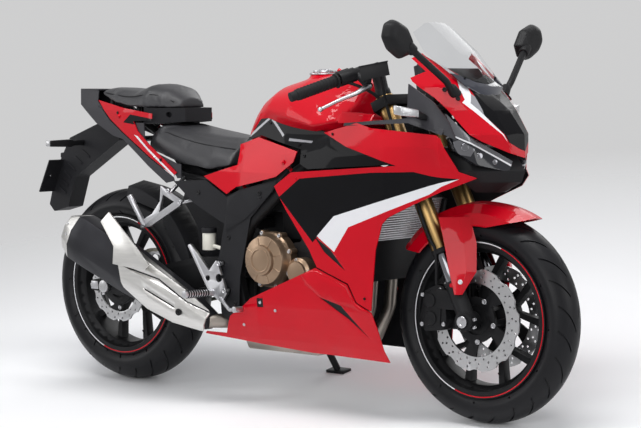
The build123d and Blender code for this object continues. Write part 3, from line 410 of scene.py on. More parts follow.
# the reflector cups take chrome darkened as a painted dark reflection
paint(
    dressed["headlights"],
    [(lampBar, lampGraphic["bar"]), (white, lampGraphic["line"]), (darkReflectionChrome, lampGraphic["cup"])], "front",
)
tailGraphic = {
    "black": [(100, 868), (215, 856), (215, 848), (117, 845), (124, 836), (60, 842)],
    "white": [(140, 800), (332, 676), (326, 672), (120, 804)],
}
paint(dressed["tail_panels"], [(deepBlack, tailGraphic["black"]), (white, tailGraphic["white"])], "side")
edging = {
    "rear": [(612, 812), (700, 873), (704, 867), (618, 806)],
    "front": [(704, 867), (774, 815), (769, 809), (702, 859)],
    "low": [(800, 806), (900, 800), (898, 794), (800, 798)],
}
paint(dressed["tank_trim"], [(silverPaint, line) for line in edging.values()], "side")
mirrorGlass = {"behind": 1.3125, "outside": 0.25}
dressed["mirrors"].data.materials.append(chrome)
for face in dressed["mirrors"].data.polygons:
    spot = toBike @ face.center
    if spot.x < mirrorGlass["behind"] and abs(spot.y) > mirrorGlass["outside"]:
        face.material_index = 1
print("graphics painted")


# Shapes drawn in the bike's frame
def rodPiece(start, end, radius, sides=20, bevel=0.0, tip=None):
    a, b = mm(*start), mm(*end)
    turn = (b - a).to_track_quat("Z", "Y").to_euler()
    bpy.ops.mesh.primitive_cone_add(
        vertices=sides, radius1=radius / 1000, radius2=(tip or radius) / 1000, depth=(b - a).length,
        location=(a + b) / 2, rotation=turn,
    )
    piece = bpy.context.object
    settle()
    if bevel:
        softEdges(piece, bevel, 2, 50)
    return piece


def boxPiece(low, high, bevel=2.0, segments=2):
    a, b = mm(*low), mm(*high)
    bpy.ops.mesh.primitive_cube_add(size=1, location=(a + b) / 2)
    piece = bpy.context.object
    piece.scale = b - a
    settle()
    softEdges(piece, bevel, segments)
    return piece


def ringPiece(place, radius, width, segments):
    bpy.ops.mesh.primitive_torus_add(
        major_radius=radius / 1000, minor_radius=width / 1000, major_segments=segments, minor_segments=8,
        location=mm(*place), rotation=(math.pi / 2, 0, 0),
    )
    settle()
    return bpy.context.object


def squeezed(piece, factors, place):
    editAll(piece)
    bpy.ops.transform.resize(value=factors, center_override=mm(*place))
    leaveEdit()
    return piece


def platePiece(outline, low, high, bevel=1.5):
    bpy.ops.mesh.primitive_circle_add(vertices=len(outline), fill_type="NGON")
    piece = bpy.context.object
    for vert, (x, z) in zip(piece.data.vertices, outline):
        vert.co = mm(x, low, z)
    editAll(piece)
    bpy.ops.mesh.extrude_region_move(TRANSFORM_OT_translate={"value": mm(0, high - low, 0)})
    bpy.ops.mesh.select_all(action="SELECT")
    bpy.ops.mesh.normals_make_consistent(inside=False)
    leaveEdit()
    softEdges(piece, bevel)
    return piece


def hosePiece(name, points, radius, body="chassis", finish=rubber, swell=None):
    route = bpy.data.curves.new(name, "CURVE")
    route.dimensions = "3D"
    line = route.splines.new("NURBS")
    line.points.add(len(points) - 1)
    for k, (point, place) in enumerate(zip(line.points, points)):
        point.co = (*mm(*place), 1)
        point.radius = swell[k] if swell else 1
    line.order_u = 3
    line.use_endpoint_u = True
    line.resolution_u = 6
    route.bevel_depth = radius / 1000
    route.bevel_resolution = 3
    route.use_fill_caps = True
    piece = bpy.data.objects.new(name, route)
    bpy.context.scene.collection.objects.link(piece)
    only(piece)
    bpy.ops.object.convert(target="MESH")
    return setDown(bpy.context.object, body, finish, 60)


# socket-head bolts, one at every spot of a set; the shares are of radius, height and radius
boltForm = {"wall": 0.45, "sink": 0.6, "edge": 0.12, "sides": 12}


def boltSet(name, spots, radius, height, body="chassis", finish=alloy):
    copies = []
    for x, y, z, nx, ny, nz in spots:
        out = Vector((nx, ny, nz)).normalized() * height
        head = rodPiece((x, y, z), (x + out.x, y + out.y, z + out.z), radius, boltForm["sides"])
        pickFaces(head, lambda face: face.normal.dot(out.normalized()) > 0.9)
        bpy.ops.mesh.inset(thickness=radius * boltForm["wall"] / 1000)
        bpy.ops.mesh.extrude_region_move(TRANSFORM_OT_translate={"value": -out * boltForm["sink"] / 1000})
        leaveEdit()
        softEdges(head, radius * boltForm["edge"], 1, 50)
        copies.append(head)
    return setDown(joined(copies, name), body, finish)


# Tyres: a slanted profile spun round the axle, with curved grooves pressed in
tyreForms = {
    "front_tyre": {
        "axle": (1410, 300), "radius": 300, "half": 60, "crown": 62, "bead": 45, "slant": 20, "body": "front_wheel",
    },
    "rear_tyre": {
        "axle": (0, 312), "radius": 312, "half": 80, "crown": 82, "bead": 61, "slant": 22, "body": "rear_wheel",
    },
}
wallForm = {"shoulder": 0.92, "bulge": (3, 0.4, 143), "seat": 229, "lip": 217.5, "arc": 14, "wall": 6}
grooveForm = {
    "steps": 240, "every": 10, "depth": 4, "bend": 0.7, "span": (0.05, 0.97), "longEnd": 0.93, "shortStart": 0.28,
}


def tyrePiece(node, form):
    edge = wallForm["shoulder"] * form["half"]
    top = form["radius"] - form["crown"]
    sweep = math.asin(edge / form["crown"]) / wallForm["arc"]
    crownLine = []
    for k in range(-wallForm["arc"], wallForm["arc"] + 1):
        crownLine.append((form["crown"] * math.sin(sweep * k), top + form["crown"] * math.cos(sweep * k)))
    out, share, base = wallForm["bulge"]
    shoulder, bulge = crownLine[-1], (form["half"] + out, share * crownLine[-1][1] + base)
    foot = (form["bead"], wallForm["seat"])
    wall = []
    for k in range(1, wallForm["wall"] + 1):
        t = k / wallForm["wall"]
        wall.append(
            tuple((1 - t) ** 2 * a + 2 * t * (1 - t) * b + t * t * c for a, b, c in zip(shoulder, bulge, foot))
        )
    wall.append((form["bead"], wallForm["lip"]))
    profile = [(-y, r) for y, r in reversed(wall)] + crownLine + wall

    def lagAt(y):
        return form["slant"] * (min(abs(y), edge) / edge) ** grooveForm["bend"]

    bpy.ops.mesh.primitive_circle_add(vertices=len(profile), fill_type="NOTHING")
    piece = bpy.context.object
    axle = mm(form["axle"][0], 0, form["axle"][1])
    for vert, (y, r) in zip(piece.data.vertices, profile):
        late = math.radians(lagAt(y))
        vert.co = axle + mm(r * math.sin(late), y, -r * math.cos(late))
    editAll(piece)
    bpy.ops.mesh.spin(steps=grooveForm["steps"], angle=math.tau, center=axle, axis=(0, 1, 0))
    bpy.ops.mesh.select_all(action="SELECT")
    bpy.ops.mesh.remove_doubles(threshold=0.00005)
    bpy.ops.mesh.normals_make_consistent(inside=False)
    leaveEdit()
    pitch, every = 360 / grooveForm["steps"], grooveForm["every"]
    first, last = grooveForm["span"]

    def inGroove(face):
        spot = (face.center - axle) * 1000
        side = abs(spot.y) / edge
        if math.hypot(spot.x, spot.z) < top or side < first or side > last:
            return False
        bearing = math.degrees(math.atan2(spot.x, -spot.z)) - lagAt(spot.y)
        column = int((bearing % 360) / pitch) + (0 if spot.y > 0 else every // 2)
        isLong, isShort = column % (2 * every) == 0, column % (2 * every) == every
        return isLong and side < grooveForm["longEnd"] or isShort and side > grooveForm["shortStart"]

    pickFaces(piece, inGroove)
    bpy.ops.mesh.extrude_region_shrink_fatten(TRANSFORM_OT_shrink_fatten={"value": -grooveForm["depth"] / 1000})
    leaveEdit()
    piece.name = node + "_dressed"
    setDown(piece, form["body"], tread, 40)
    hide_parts(node)


for node, form in tyreForms.items():
    tyrePiece(node, form)
print("tyres made")

# Rim stripes: a thin raised line, white behind and red ahead
stripeForm = {
    "radius": 221, "width": 1.6, "flat": (1, 0.35, 1),
    "sets": (("front_wheel", 1410, 300, 51.6), ("rear_wheel", 0, 312, 67.6)),
}
for body, x, z, out in stripeForm["sets"]:
    rings = []
    for side in (-1, 1):
        ring = ringPiece((x, side * out, z), stripeForm["radius"], stripeForm["width"], 120)
        rings.append(squeezed(ring, stripeForm["flat"], (x, side * out, z)))
    stripe = joined(rings, body + "_stripes")
    ahead = [face.center.x * 1000 > x + 0.4 * (face.center.z * 1000 - z) for face in stripe.data.polygons]
    setDown(stripe, body, white)
    stripe.data.materials.append(red)
    for face, isAhead in zip(stripe.data.polygons, ahead):
        face.material_index = 1 if isAhead else 0
print("stripes made")

# Chain: rounded side plates and rollers along the loop between the sprockets
chainForm = {
    "rear": (0, 312, 103.5), "front": (636, 402, 39.5), "y": 95, "links": 106, "plate": (21, 1.8, 11),
    "gauge": (5.6, 7.6), "waist": 2.2, "edge": 0.4, "pin": 4.2, "pinEnd": 1.5,
}


def chainSpots(form):
    (x0, z0, r0), (x1, z1, r1) = form["rear"], form["front"]
    span = math.hypot(x1 - x0, z1 - z0)
    slope = math.atan2(z1 - z0, x1 - x0)
    lift = math.asin((r0 - r1) / span)
    run = math.sqrt(span ** 2 - (r0 - r1) ** 2)
    nearArc, farArc = r0 * (math.pi + 2 * lift), r1 * (math.pi - 2 * lift)
    total = 2 * run + nearArc + farArc
    topAngle, lowAngle = slope + math.pi / 2 - lift, slope - math.pi / 2 + lift
    for k in range(form["links"]):
        s = total * k / form["links"]
        if s < run:
            a = topAngle
            yield x0 + r0 * math.cos(a) + s * math.sin(a), z0 + r0 * math.sin(a) - s * math.cos(a), a - math.pi / 2
        elif s < run + farArc:
            a = topAngle - (s - run) / r1
            yield x1 + r1 * math.cos(a), z1 + r1 * math.sin(a), a - math.pi / 2
        elif s < 2 * run + farArc:
            a, s = lowAngle, s - run - farArc
            yield x1 + r1 * math.cos(a) + s * math.sin(a), z1 + r1 * math.sin(a) - s * math.cos(a), a - math.pi / 2
        else:
            a = lowAngle - (s - 2 * run - farArc) / r0
            yield x0 + r0 * math.cos(a), z0 + r0 * math.sin(a), a - math.pi / 2


def linkPiece(form, gauge):
    plates = []
    for side in (-1, 1):
        along, thick, tall = (size / 2 for size in form["plate"])
        plate = boxPiece((-along, side * gauge - thick, -tall), (along, side * gauge + thick, tall), 0.3, 1)
        pickFaces(plate, lambda face: abs(face.normal.y) > 0.9)
        bpy.ops.mesh.inset(thickness=form["waist"] / 1000)
        bpy.ops.mesh.bevel(offset=form["edge"] / 1000)
        leaveEdit()
        plates.append(plate)
    end = gauge + form["pinEnd"]
    plates.append(rodPiece((0, -end, 0), (0, end, 0), form["pin"], 10))
    return joined(plates, "chainLink")


masters = [linkPiece(chainForm, gauge) for gauge in chainForm["gauge"]]
links = []
for k, (x, z, angle) in enumerate(chainSpots(chainForm)):
    link = copyOf(masters[k % 2].data, "chainLink")
    link.matrix_world = Matrix.Translation(mm(x, chainForm["y"], z)) @ Matrix.Rotation(-angle, 4, "Y")
    links.append(link)
for master in masters:
    bpy.data.objects.remove(master)
chain = setDown(joined(links, "drive_chain_dressed"), "chassis", chainSteel)
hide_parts("drive_chain")
print("chain made")


# Where a straight line first meets a dressed piece, and the way the surface faces there
def meets(piece, start, end):
    bpy.context.view_layer.update()
    a, b = toFloor @ mm(*start), toFloor @ mm(*end)
    hit, spot, normal, index = piece.ray_cast(a, (b - a).normalized())
    if not hit:
        print("no surface on", piece.name, "from", start)
        return None
    return (*(toBike @ spot * 1000), *(bikeTurn @ normal))


def fromSide(piece, x, z, side):
    return meets(piece, (x, side * 600, z), (x, 0, z))


def spotsOn(node, places, sides=(-1, 1)):
    found = [fromSide(dressed[node], x, z, side) for x, z in places for side in sides]
    return [spot for spot in found if spot]


def fromFront(piece, y, z):
    return meets(piece, (1900, y, z), (1000, y, z))


# Relief: the outer faces inside an outline, seen from the side, stand proud or sink in
def relief(piece, outline, rise, finish):
    paint(piece, [(finish or piece.data.materials[0], outline)], "side")

    def outer(face):
        spot, facing = toBike @ face.center * 1000, bikeTurn @ face.normal
        return inside(spot.x, spot.z, outline) and facing.y * spot.y > 0 and abs(facing.y) > 0.4

    pickFaces(piece, outer)
    bpy.ops.mesh.extrude_region_shrink_fatten(TRANSFORM_OT_shrink_fatten={"value": rise / 1000})
    leaveEdit()
    smooth(piece, 40)


reliefTable = {
    "lowerFlap": (
        "lower_fairings", [(884, 404), (936, 424), (1052, 382), (1078, 338), (1130, 312), (950, 350)], 4.0, None,
    ),
    "lowerSlot": ("lower_fairings", [(950, 346), (1030, 326), (1124, 232), (1050, 288)], -2.6, matteBlack),
    "lowerClip": ("lower_fairings", [(702, 326), (728, 327), (728, 299), (702, 298)], -2.6, matteBlack),
    "sideSlot": ("side_fairings", [(936, 526), (1000, 486), (1052, 428), (1040, 434), (972, 480)], -2.6, matteBlack),
    "coverStep": (
        "frame_covers", [(560, 520), (640, 560), (742, 636), (770, 680), (622, 642), (566, 616)], 3.0, None,
    ),
    "shieldSlot": ("muffler_shield", [(279, 336), (284, 327), (402, 274), (399, 283)], -4.5, matteBlack),
    # a thin band sunk 2 mm in the dark muffler colour: painted shade along the shield's crease
    "shieldCreaseShade": (
        "muffler_shield",
        [(160, 412), (334, 365), (441, 302), (534, 266), (533, 263), (440, 298), (333, 361), (160, 408)], -2.0,
        darkMetalAndCreaseShade,
    ),
}
for node, outline, rise, finish in reliefTable.values():
    relief(dressed[node], outline, rise, finish)
for node in ("side_fairings", "lower_fairings", "side_covers", "tail_panels"):
    piece = dressed[node]
    piece.data.materials.append(mouldedBlack)  # unpainted inside
    for face in piece.data.polygons:
        if (bikeTurn @ face.normal).y * (toBike @ face.center).y < -0.012:
            face.material_index = len(piece.data.materials) - 1
print("relief pressed")

# Seats: the CAD shape remeshed, blown up a little as stuffed vinyl, then seamed
seatForm = {"voxel": 6.5, "pressure": 3.0, "frames": 16, "cap": 5, "start": -2.0, "fill": 0.9}


def seatPiece(piece, form):
    editAll(piece)
    bpy.ops.transform.shrink_fatten(value=form["start"] / 1000)
    leaveEdit()
    piece.data.remesh_voxel_size = form["voxel"] / 1000
    bpy.ops.object.voxel_remesh()
    applyModifier(piece, "SMOOTH", factor=0.5, iterations=6)
    held = piece.vertex_groups.new(name="held")
    held.add([vert.index for vert in piece.data.vertices if (bikeTurn @ vert.normal).z < -0.6], 1.0, "REPLACE")
    before = [vert.co.copy() for vert in piece.data.vertices]
    only(piece)
    stuffing = piece.modifiers.new("Stuffing", "CLOTH")
    stuffing.settings.use_pressure = True
    stuffing.settings.uniform_pressure_force = form["pressure"]
    stuffing.settings.effector_weights.gravity = 0
    stuffing.settings.vertex_group_mass = "held"
    for step in range(1, form["frames"] + 1):
        bpy.context.scene.frame_set(step)
    bpy.ops.object.modifier_apply(modifier=stuffing.name)
    bpy.context.scene.frame_set(1)
    for vert, old in zip(piece.data.vertices, before):
        shift = vert.co - old
        if shift.length > form["cap"] / 1000:
            vert.co = old + shift.normalized() * form["cap"] / 1000
    applyModifier(piece, "SMOOTH", factor=0.5, iterations=3)
    applyModifier(piece, "SUBSURF", levels=1, render_levels=1)
    coatWith(piece, vinyl)
    smooth(piece, 60)
    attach(piece, "chassis")


def meanX(piece):
    return sum((toBike @ vert.co).x for vert in piece.data.vertices) / len(piece.data.vertices)


mergedCopy("seats", "seats_copy")
bpy.ops.mesh.separate(type="LOOSE")
leaveEdit()
frontFirst = sorted(bpy.context.selected_objects, key=meanX, reverse=True)
for name, piece in zip(("rider_seat", "pillion_seat"), frontFirst):
    piece.name = name
    seatPiece(piece, seatForm)
    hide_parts("seats")
    dressed[name] = piece
seamTable = {
    "rider_seat": [(186, 806), (230, 818), (300, 800), (380, 784), (470, 772), (540, 766)],
    "pillion_seat": [(-70, 936), (0, 930), (80, 922), (150, 932), (205, 930), (240, 908)],
}
for name, line in seamTable.items():
    for side in (-1, 1):
        seam = [spot[:3] for spot in spotsOn(name, line, (side,))]
        hosePiece(name + ("_seam_right" if side < 0 else "_seam_left"), seam, 1.8)
print("seats stuffed")

# Bolts that sit on a panel, found by a line from the side
panelBolts = {
    "side_bolts": ("side_fairings", [(1118, 352), (1000, 822)], 4, castBlack),
    "lower_bolts": ("lower_fairings", [(715, 313), (775, 293), (640, 240)], 5, alloy),
    "cover_bolts": ("frame_covers", [(570, 500), (441, 632), (596, 300), (700, 640)], 7, castBlack),
    "trim_bolts": ("tank_trim", [(880, 756), (700, 850)], 5, castBlack),
    "tail_bolts": ("tail_panels", [(30, 872), (260, 728)], 5, castBlack),
    "screen_bolts": ("windscreen", [(1378, 984)], 4, castBlack),
}
for name, (node, spots, radius, finish) in panelBolts.items():
    boltSet(name, spotsOn(node, spots), radius, 3, "chassis", finish)


def around(centre, radius, angles, y, facing):
    spots = []
    for angle in angles:
        x = centre[0] + radius * math.cos(math.radians(angle))
        z = centre[1] + radius * math.sin(math.radians(angle))
        spots.append((x, y, z, 0, facing, 0))
    return spots


# Engine covers: bosses with bolts round the rim, ribs on the clutch dome, a ringed cap
coverTable = {
    "clutch": {
        "centre": (722, 440), "rim": 84, "angles": (20, 62, 110, 152, 200, 245, 290, 335), "span": (-132, -160),
        "facing": -1,
    },
    "generator": {"centre": (806, 370), "rim": 94, "angles": range(0, 360, 45), "span": (132, 158), "facing": 1},
}
domeForm = {"ribs": 8, "reach": (48, 73), "face": (-191.5, -187), "width": 2.6, "ring": (34, 2.2), "ringFace": -204.2}
pumpForm = {"centre": (838, 408), "rim": 38, "angles": (10, 100, 190, 280), "face": -162}
for name, form in coverTable.items():
    start, end = form["span"]
    spots = around(form["centre"], form["rim"], form["angles"], end, form["facing"])
    bosses = [rodPiece((spot[0], start, spot[2]), (spot[0], end, spot[2]), 9, 16, 1.5) for spot in spots]
    if name == "clutch":
        (x, z), (near, far), (inner, outer) = form["centre"], domeForm["reach"], domeForm["face"]
        for k in range(domeForm["ribs"]):
            a = math.tau * (k + 0.4) / domeForm["ribs"]
            low = (x + near * math.cos(a), inner, z + near * math.sin(a))
            high = (x + far * math.cos(a), outer, z + far * math.sin(a))
            bosses.append(rodPiece(low, high, domeForm["width"], 10, 0.8))
        bosses.append(ringPiece((x, domeForm["ringFace"], z), *domeForm["ring"], 48))
    setDown(joined(bosses, name + "_bosses"), "chassis", bronze)
    boltSet(name + "_bolts", spots, 6, 5)
boltSet("pump_bolts", around(pumpForm["centre"], pumpForm["rim"], pumpForm["angles"], pumpForm["face"], -1), 5, 5)
finForm = {
    "case": [(690, 236), (900, 236), (930, 290), (925, 294), (896, 242), (690, 242)], "out": (126, 132), "rows": 6,
    "half": 122,
}
caseRibs = [platePiece(finForm["case"], *(side * y for y in finForm["out"])) for side in (-1, 1)]
for k in range(finForm["rows"]):
    (backX, backZ), (foreX, foreZ) = (850 + 30 * k, 500 + 26 * k), (944 + 12 * k, 452 + 24 * k)
    fin = [(backX, backZ), (foreX, foreZ), (foreX + 2, foreZ + 5), (backX + 2, backZ + 6)]
    caseRibs.append(platePiece(fin, -finForm["half"], finForm["half"], 0.8))
setDown(joined(caseRibs, "engine_ribs"), "chassis", castBlack)
engineHoses = {
    "coolant_hose_right": (
        14, [(1092, -136, 604), (1050, -140, 612), (985, -128, 560), (930, -112, 545), (880, -100, 560)],
    ),
    "coolant_hose_left": (14, [(1062, 136, 430), (1020, 140, 420), (960, 132, 440), (900, 112, 470)]),
    "wiring_loom": (5, [(640, -128, 560), (700, -132, 600), (760, -130, 640), (840, -136, 690), (900, -120, 720)]),
}
for name, (radius, line) in engineHoses.items():
    hosePiece(name, line, radius)
print("engine detailed")

# Radiator: rows of tubes with pressed fins between them above a black shroud, and side tanks
coolerForm = {"low": (1110.2, 514), "high": (1138.5, 630), "half": 146, "rows": 17, "bar": 1.9, "fins": 160}
sideTank = {
    "x": (1066, 1094), "z": (400, 636), "out": (144, 160), "tilt": -math.atan2(57.5, 236), "pivot": (1080, 0, 394),
}
(lowX, lowZ), (highX, highZ) = coolerForm["low"], coolerForm["high"]
bars = []
for k in range(coolerForm["rows"]):
    t = (k + 0.5) / coolerForm["rows"]
    x, z = lowX + t * (highX - lowX) + 1.5, lowZ + t * (highZ - lowZ)
    bars.append(rodPiece((x, -coolerForm["half"], z), (x, coolerForm["half"], z), coolerForm["bar"], 8))
setDown(joined(bars, "radiator_tubes"), "chassis", alloy)
bpy.ops.mesh.primitive_grid_add(x_subdivisions=coolerForm["fins"], y_subdivisions=2, size=1)
fins = bpy.context.object
for vert in fins.data.vertices:
    across, up = vert.co.x * 2 * coolerForm["half"], vert.co.y + 0.5
    ripple = 1.6 if round((vert.co.x + 0.5) * coolerForm["fins"]) % 2 else -0.6
    vert.co = mm(lowX + up * (highX - lowX) + ripple, -across, lowZ + up * (highZ - lowZ))
setDown(fins, "chassis", alloy, 10)
fins.name = "radiator_fins"
tanks = []
for side in (-1, 1):
    near, far = sorted(side * y for y in sideTank["out"])
    (back, fore), (foot, top) = sideTank["x"], sideTank["z"]
    tanks.append(boxPiece((back, near, foot), (fore, far, top), 4, 3))
    editAll(tanks[-1])
    bpy.ops.transform.rotate(value=sideTank["tilt"], orient_axis="Y", center_override=mm(*sideTank["pivot"]))
    leaveEdit()
setDown(joined(tanks, "radiator_tanks"), "chassis", matteBlack)
print("radiator finned")

# Brakes: drilled discs, disc bolts, caliper halves with their bolts
discTable = {
    "front_discs": {
        "axle": (1410, 300), "rows": ((113, 0), (125, 6), (137, 3)), "count": 24, "hole": 3.4, "span": (-75, 75),
        "inner": 105,
    },
    "rear_disc": {
        "axle": (0, 312), "rows": ((95, 0), (109, 9)), "count": 20, "hole": 3.2, "span": (-95, -60), "inner": 86,
    },
}
for node, form in discTable.items():
    (x, z), (near, far), count = form["axle"], form["span"], form["count"]
    carrier = copyOf(dressed[node].data, node + "_carrier")
    hub = rodPiece((x, near, z), (x, far, z), form["inner"], 96)
    layDown(hub)
    applyModifier(carrier, "BOOLEAN", operation="INTERSECT", object=hub, solver="EXACT")
    applyModifier(dressed[node], "BOOLEAN", operation="DIFFERENCE", object=hub, solver="EXACT")
    bpy.data.objects.remove(hub)
    coatWith(carrier, castBlack)
    smooth(carrier, 30)
    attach(carrier, bodyOf[node])
    drills = []
    for radius, shift in form["rows"]:
        for x, y, z, *facing in around(form["axle"], radius, [k * 360 / count + shift for k in range(count)], 0, 1):
            drills.append(rodPiece((x, near, z), (x, far, z), form["hole"], 10))
    drill = joined(drills, "drills")
    layDown(drill)
    applyModifier(dressed[node], "BOOLEAN", operation="DIFFERENCE", object=drill, solver="EXACT")
    bpy.data.objects.remove(drill)
    smooth(dressed[node], 30)
carrierAngles = [277 - k * 72 for k in range(5)]
frontAxle, rearAxle = discTable["front_discs"]["axle"], discTable["rear_disc"]["axle"]
frontBolts = [spot for side in (-1, 1) for spot in around(frontAxle, 62, carrierAngles, side * 62, side)]
boltSet("front_disc_bolts", frontBolts, 8, 3, "front_wheel")
boltSet("rear_disc_bolts", around(rearAxle, 74, carrierAngles, -79, -1), 7, 5, "rear_wheel")
boltSet("sprocket_bolts", around(rearAxle, 58, range(30, 390, 60), 98, 1), 7, 6, "rear_wheel")
caliperForm = {
    "pistons": ((1282, 352), (1286, 300)), "size": 21, "bolts": ((1256, 366), (1254, 282), (1318, 384), (1330, 286)),
    "plate": [(1250, 312), (1262, 366), (1304, 388), (1324, 382), (1318, 282), (1266, 274)],
    "rearBolts": ((64, 426), (104, 400), (80, 366)),
    "pistonSpan": (98, 113), "plateSpan": (102, 108), "boltFace": 104, "rearFace": -108,
}
shells, caliperBolts = [], []
for side in (-1, 1):
    near, far = (side * y for y in caliperForm["pistonSpan"])
    shells += [rodPiece((x, near, z), (x, far, z), caliperForm["size"], 28, 4) for x, z in caliperForm["pistons"]]
    shells.append(platePiece(caliperForm["plate"], *(side * y for y in caliperForm["plateSpan"]), 3))
    caliperBolts += [(x, side * caliperForm["boltFace"], z, 0, side, 0) for x, z in caliperForm["bolts"]]
setDown(joined(shells, "caliper_shells"), "steering", castBlack)
boltSet("caliper_bolts", caliperBolts, 6, 5, "steering")
boltSet("rear_caliper_bolts", [(x, caliperForm["rearFace"], z, 0, -1, 0) for x, z in caliperForm["rearBolts"]], 5, 5)
print("brakes detailed")

# Fork: rings round the legs as (low, high, radius, sides, bevel), measured along the legs
forkForm = {
    "ground": 1512, "rake": math.radians(25.5), "ahead": 37.1, "spread": 100,
    "seals": ((522, 536, 29, 32, 2.5), (424, 436, 27, 32, 2)),
    "caps": ((1030, 1040, 17, 6, 1.5), (1038, 1045, 9, 24, 1)),
}


def onFork(ahead, y, up):
    along, rise = math.cos(forkForm["rake"]), math.sin(forkForm["rake"])
    return (forkForm["ground"] + ahead * along - up * rise, y, ahead * rise + up * along)


def legRings(rings):
    made = []
    for side in (-1, 1):
        for low, high, radius, sides, bevel in rings:
            start, end = (onFork(forkForm["ahead"], side * forkForm["spread"], up) for up in (low, high))
            made.append(rodPiece(start, end, radius, sides, bevel))
    return made


setDown(joined(legRings(forkForm["seals"]), "fork_seals"), "steering", rubber)
setDown(joined(legRings(forkForm["caps"]), "fork_caps"), "steering", alloy)
stem = rodPiece(onFork(0, 0, 1004), onFork(0, 0, 1016), 20, 6, 2)
setDown(stem, "steering", alloy).name = "stem_nut"
footBolts = [(1438, side * 112, 296 + 22 * k, 1, 0, 0.35) for side in (-1, 1) for k in (-0.5, 0.5)]
boltSet("axle_pinch_bolts", footBolts, 5, 8, "steering")
boltSet("axle_ends", [(1410, side * 128, 300, 0, side, 0) for side in (-1, 1)], 17, 4, "steering")
boltSet("wing_bolts", spotsOn("front_fender", [(1399, 412)]), 7, 4, "steering")

# Hoses and cables that the steering carries
steeredHoses = {
    "brake_hose_right": (
        4.5,
        [
            (1152, -170, 990), onFork(80, -150, 1020), onFork(58, -130, 985), onFork(50, -127, 940),
            onFork(38, -131, 700), onFork(34, -132, 560), (1322, -128, 500), (1300, -100, 398),
        ],
    ),
    "brake_hose_left": (
        4.5,
        [(1196, 0, 712), (1196, 60, 700), (1230, 118, 690), (1280, 130, 600), (1326, 128, 500), (1300, 100, 398)],
    ),
    "clutch_cable": (4, [(1120, 182, 962), (1146, 160, 952), (1150, 120, 905), (1124, 60, 862), (1112, 46, 850)]),
    "throttle_cables": (
        5, [(1052, -196, 972), (1096, -160, 955), (1122, -110, 910), (1112, -60, 870), (1108, -40, 856)],
    ),
}
for name, (radius, line) in steeredHoses.items():
    hosePiece(name, line, radius, "steering")
print("fork and hoses made")

# Bars: ribbed grips, levers with balls, switch pods, the brake fluid lid
barForm = {"inner": (1088, 104, 1019), "outer": (975, 352, 931), "ribs": 11, "rib": 17.6, "first": 232, "step": 9.6}


def onBar(y):
    a, b = Vector(barForm["inner"]), Vector(barForm["outer"])
    spot = a + (b - a) * (abs(y) - a.y) / (b.y - a.y)
    return Vector((spot.x, math.copysign(spot.y, y), spot.z))


leverForm = {
    "ball": 8.5, "squeeze": (0.85, 1.15, 0.85),
    "line": ((1120, 182, 960), (1124, 212, 954), (1118, 246, 938), (1096, 284, 924), (1062, 330, 896)), "size": 6,
    "swell": (1.5, 1.35, 1.05, 0.9, 0.8),
}
ribs, balls, pods, reds = [], [], [], []
for side in (-1, 1):
    blade = [(x, side * y, z) for x, y, z in leverForm["line"]]
    lever = hosePiece(
        "brake_lever" if side < 0 else "clutch_lever", blade, leverForm["size"], "steering", alloy,
        leverForm["swell"],
    )
    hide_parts("levers")
    for k in range(barForm["ribs"]):
        y = side * (barForm["first"] + k * barForm["step"])
        ribs.append(rodPiece(onBar(y), onBar(y + side * 5.2), barForm["rib"], 20, 1.2))
    ribs.append(rodPiece(onBar(side * 222), onBar(side * 227), 22, 28, 1.5))
    bpy.ops.mesh.primitive_uv_sphere_add(
        segments=20, ring_count=12, radius=leverForm["ball"] / 1000, location=mm(*blade[-1]),
    )
    settle()
    balls.append(squeezed(bpy.context.object, leverForm["squeeze"], blade[-1]))
    lift, switch = Vector((-14, 0, 8)), onBar(side * 196)
    pods.append(rodPiece(onBar(side * 176) + lift, onBar(side * 212) + lift, 13, 20, 3))
    reds.append(rodPiece(switch + Vector((-20, 0, 16)), switch + Vector((-28, 0, 22)), 6, 18, 1.5))
setDown(joined(ribs, "grip_ribs"), "steering", rubber)
setDown(joined(balls, "lever_balls"), "steering", alloy)
setDown(joined(pods, "switch_pods"), "steering", matteBlack)
setDown(joined(reds, "switch_buttons"), "steering", red)
lidAxes = Matrix(((31, -12, -3), (25, 15, -2), (8, 0, 19))).to_4x4()  # half sizes of the skewed lid
lid = boxPiece((-1060, -1080, 960), (1060, 1080, 1140), 60, 2)
only(lid)
lid.matrix_world = Matrix.Translation(mm(1142, -186, 1004)) @ Matrix.Scale(0.001, 4) @ lidAxes
settle()
editAll(lid)
bpy.ops.mesh.normals_make_consistent(inside=False)
leaveEdit()
setDown(lid, "steering", mouldedBlack).name = "brake_fluid_lid"
print("bars detailed")

# Dash: a glossy display in its rim
display = platePiece([(1233, 914), (1237, 912.5), (1258.5, 978.5), (1254.5, 980)], -70, 70, 1.2)
setDown(display, "chassis", screenBand).name = "dash_display"

# Mirrors: collars and base plates with two bolts
mirrorParts = []
for side in (-1, 1):
    mirrorParts.append(rodPiece((1344, side * 268, 1057), (1337, side * 292, 1075), 15, 24, 3, 18))
    foot = fromSide(dressed["upper_cowl"], 1376, 944, side) or (1376, side * 124, 944, 0, side, 0)
    mirrorParts.append(
        rodPiece((1376, side * (abs(foot[1]) - 8), 936), (1376, side * (abs(foot[1]) + 14), 960), 19, 28, 3, 13)
    )
setDown(joined(mirrorParts, "mirror_collars"), "chassis", matteBlack)
boltSet("mirror_bolts", spotsOn("upper_cowl", [(1356, 952), (1392, 926)]), 7, 4, "chassis", castBlack)

# Lamps: ringed projectors behind the lens line
projectors = ((142, 792, 13), (112, 768, 11), (74, 750, 9))
rings = []
for y, z, size in projectors:
    for side in (-1, 1):
        spot = fromFront(dressed["headlights"], side * y, z)
        if spot:
            place, facing = Vector(spot[:3]), Vector(spot[3:])
            rings.append(rodPiece(place - facing * 4, place + facing * 1.6, size, 28, 1, size * 0.8))
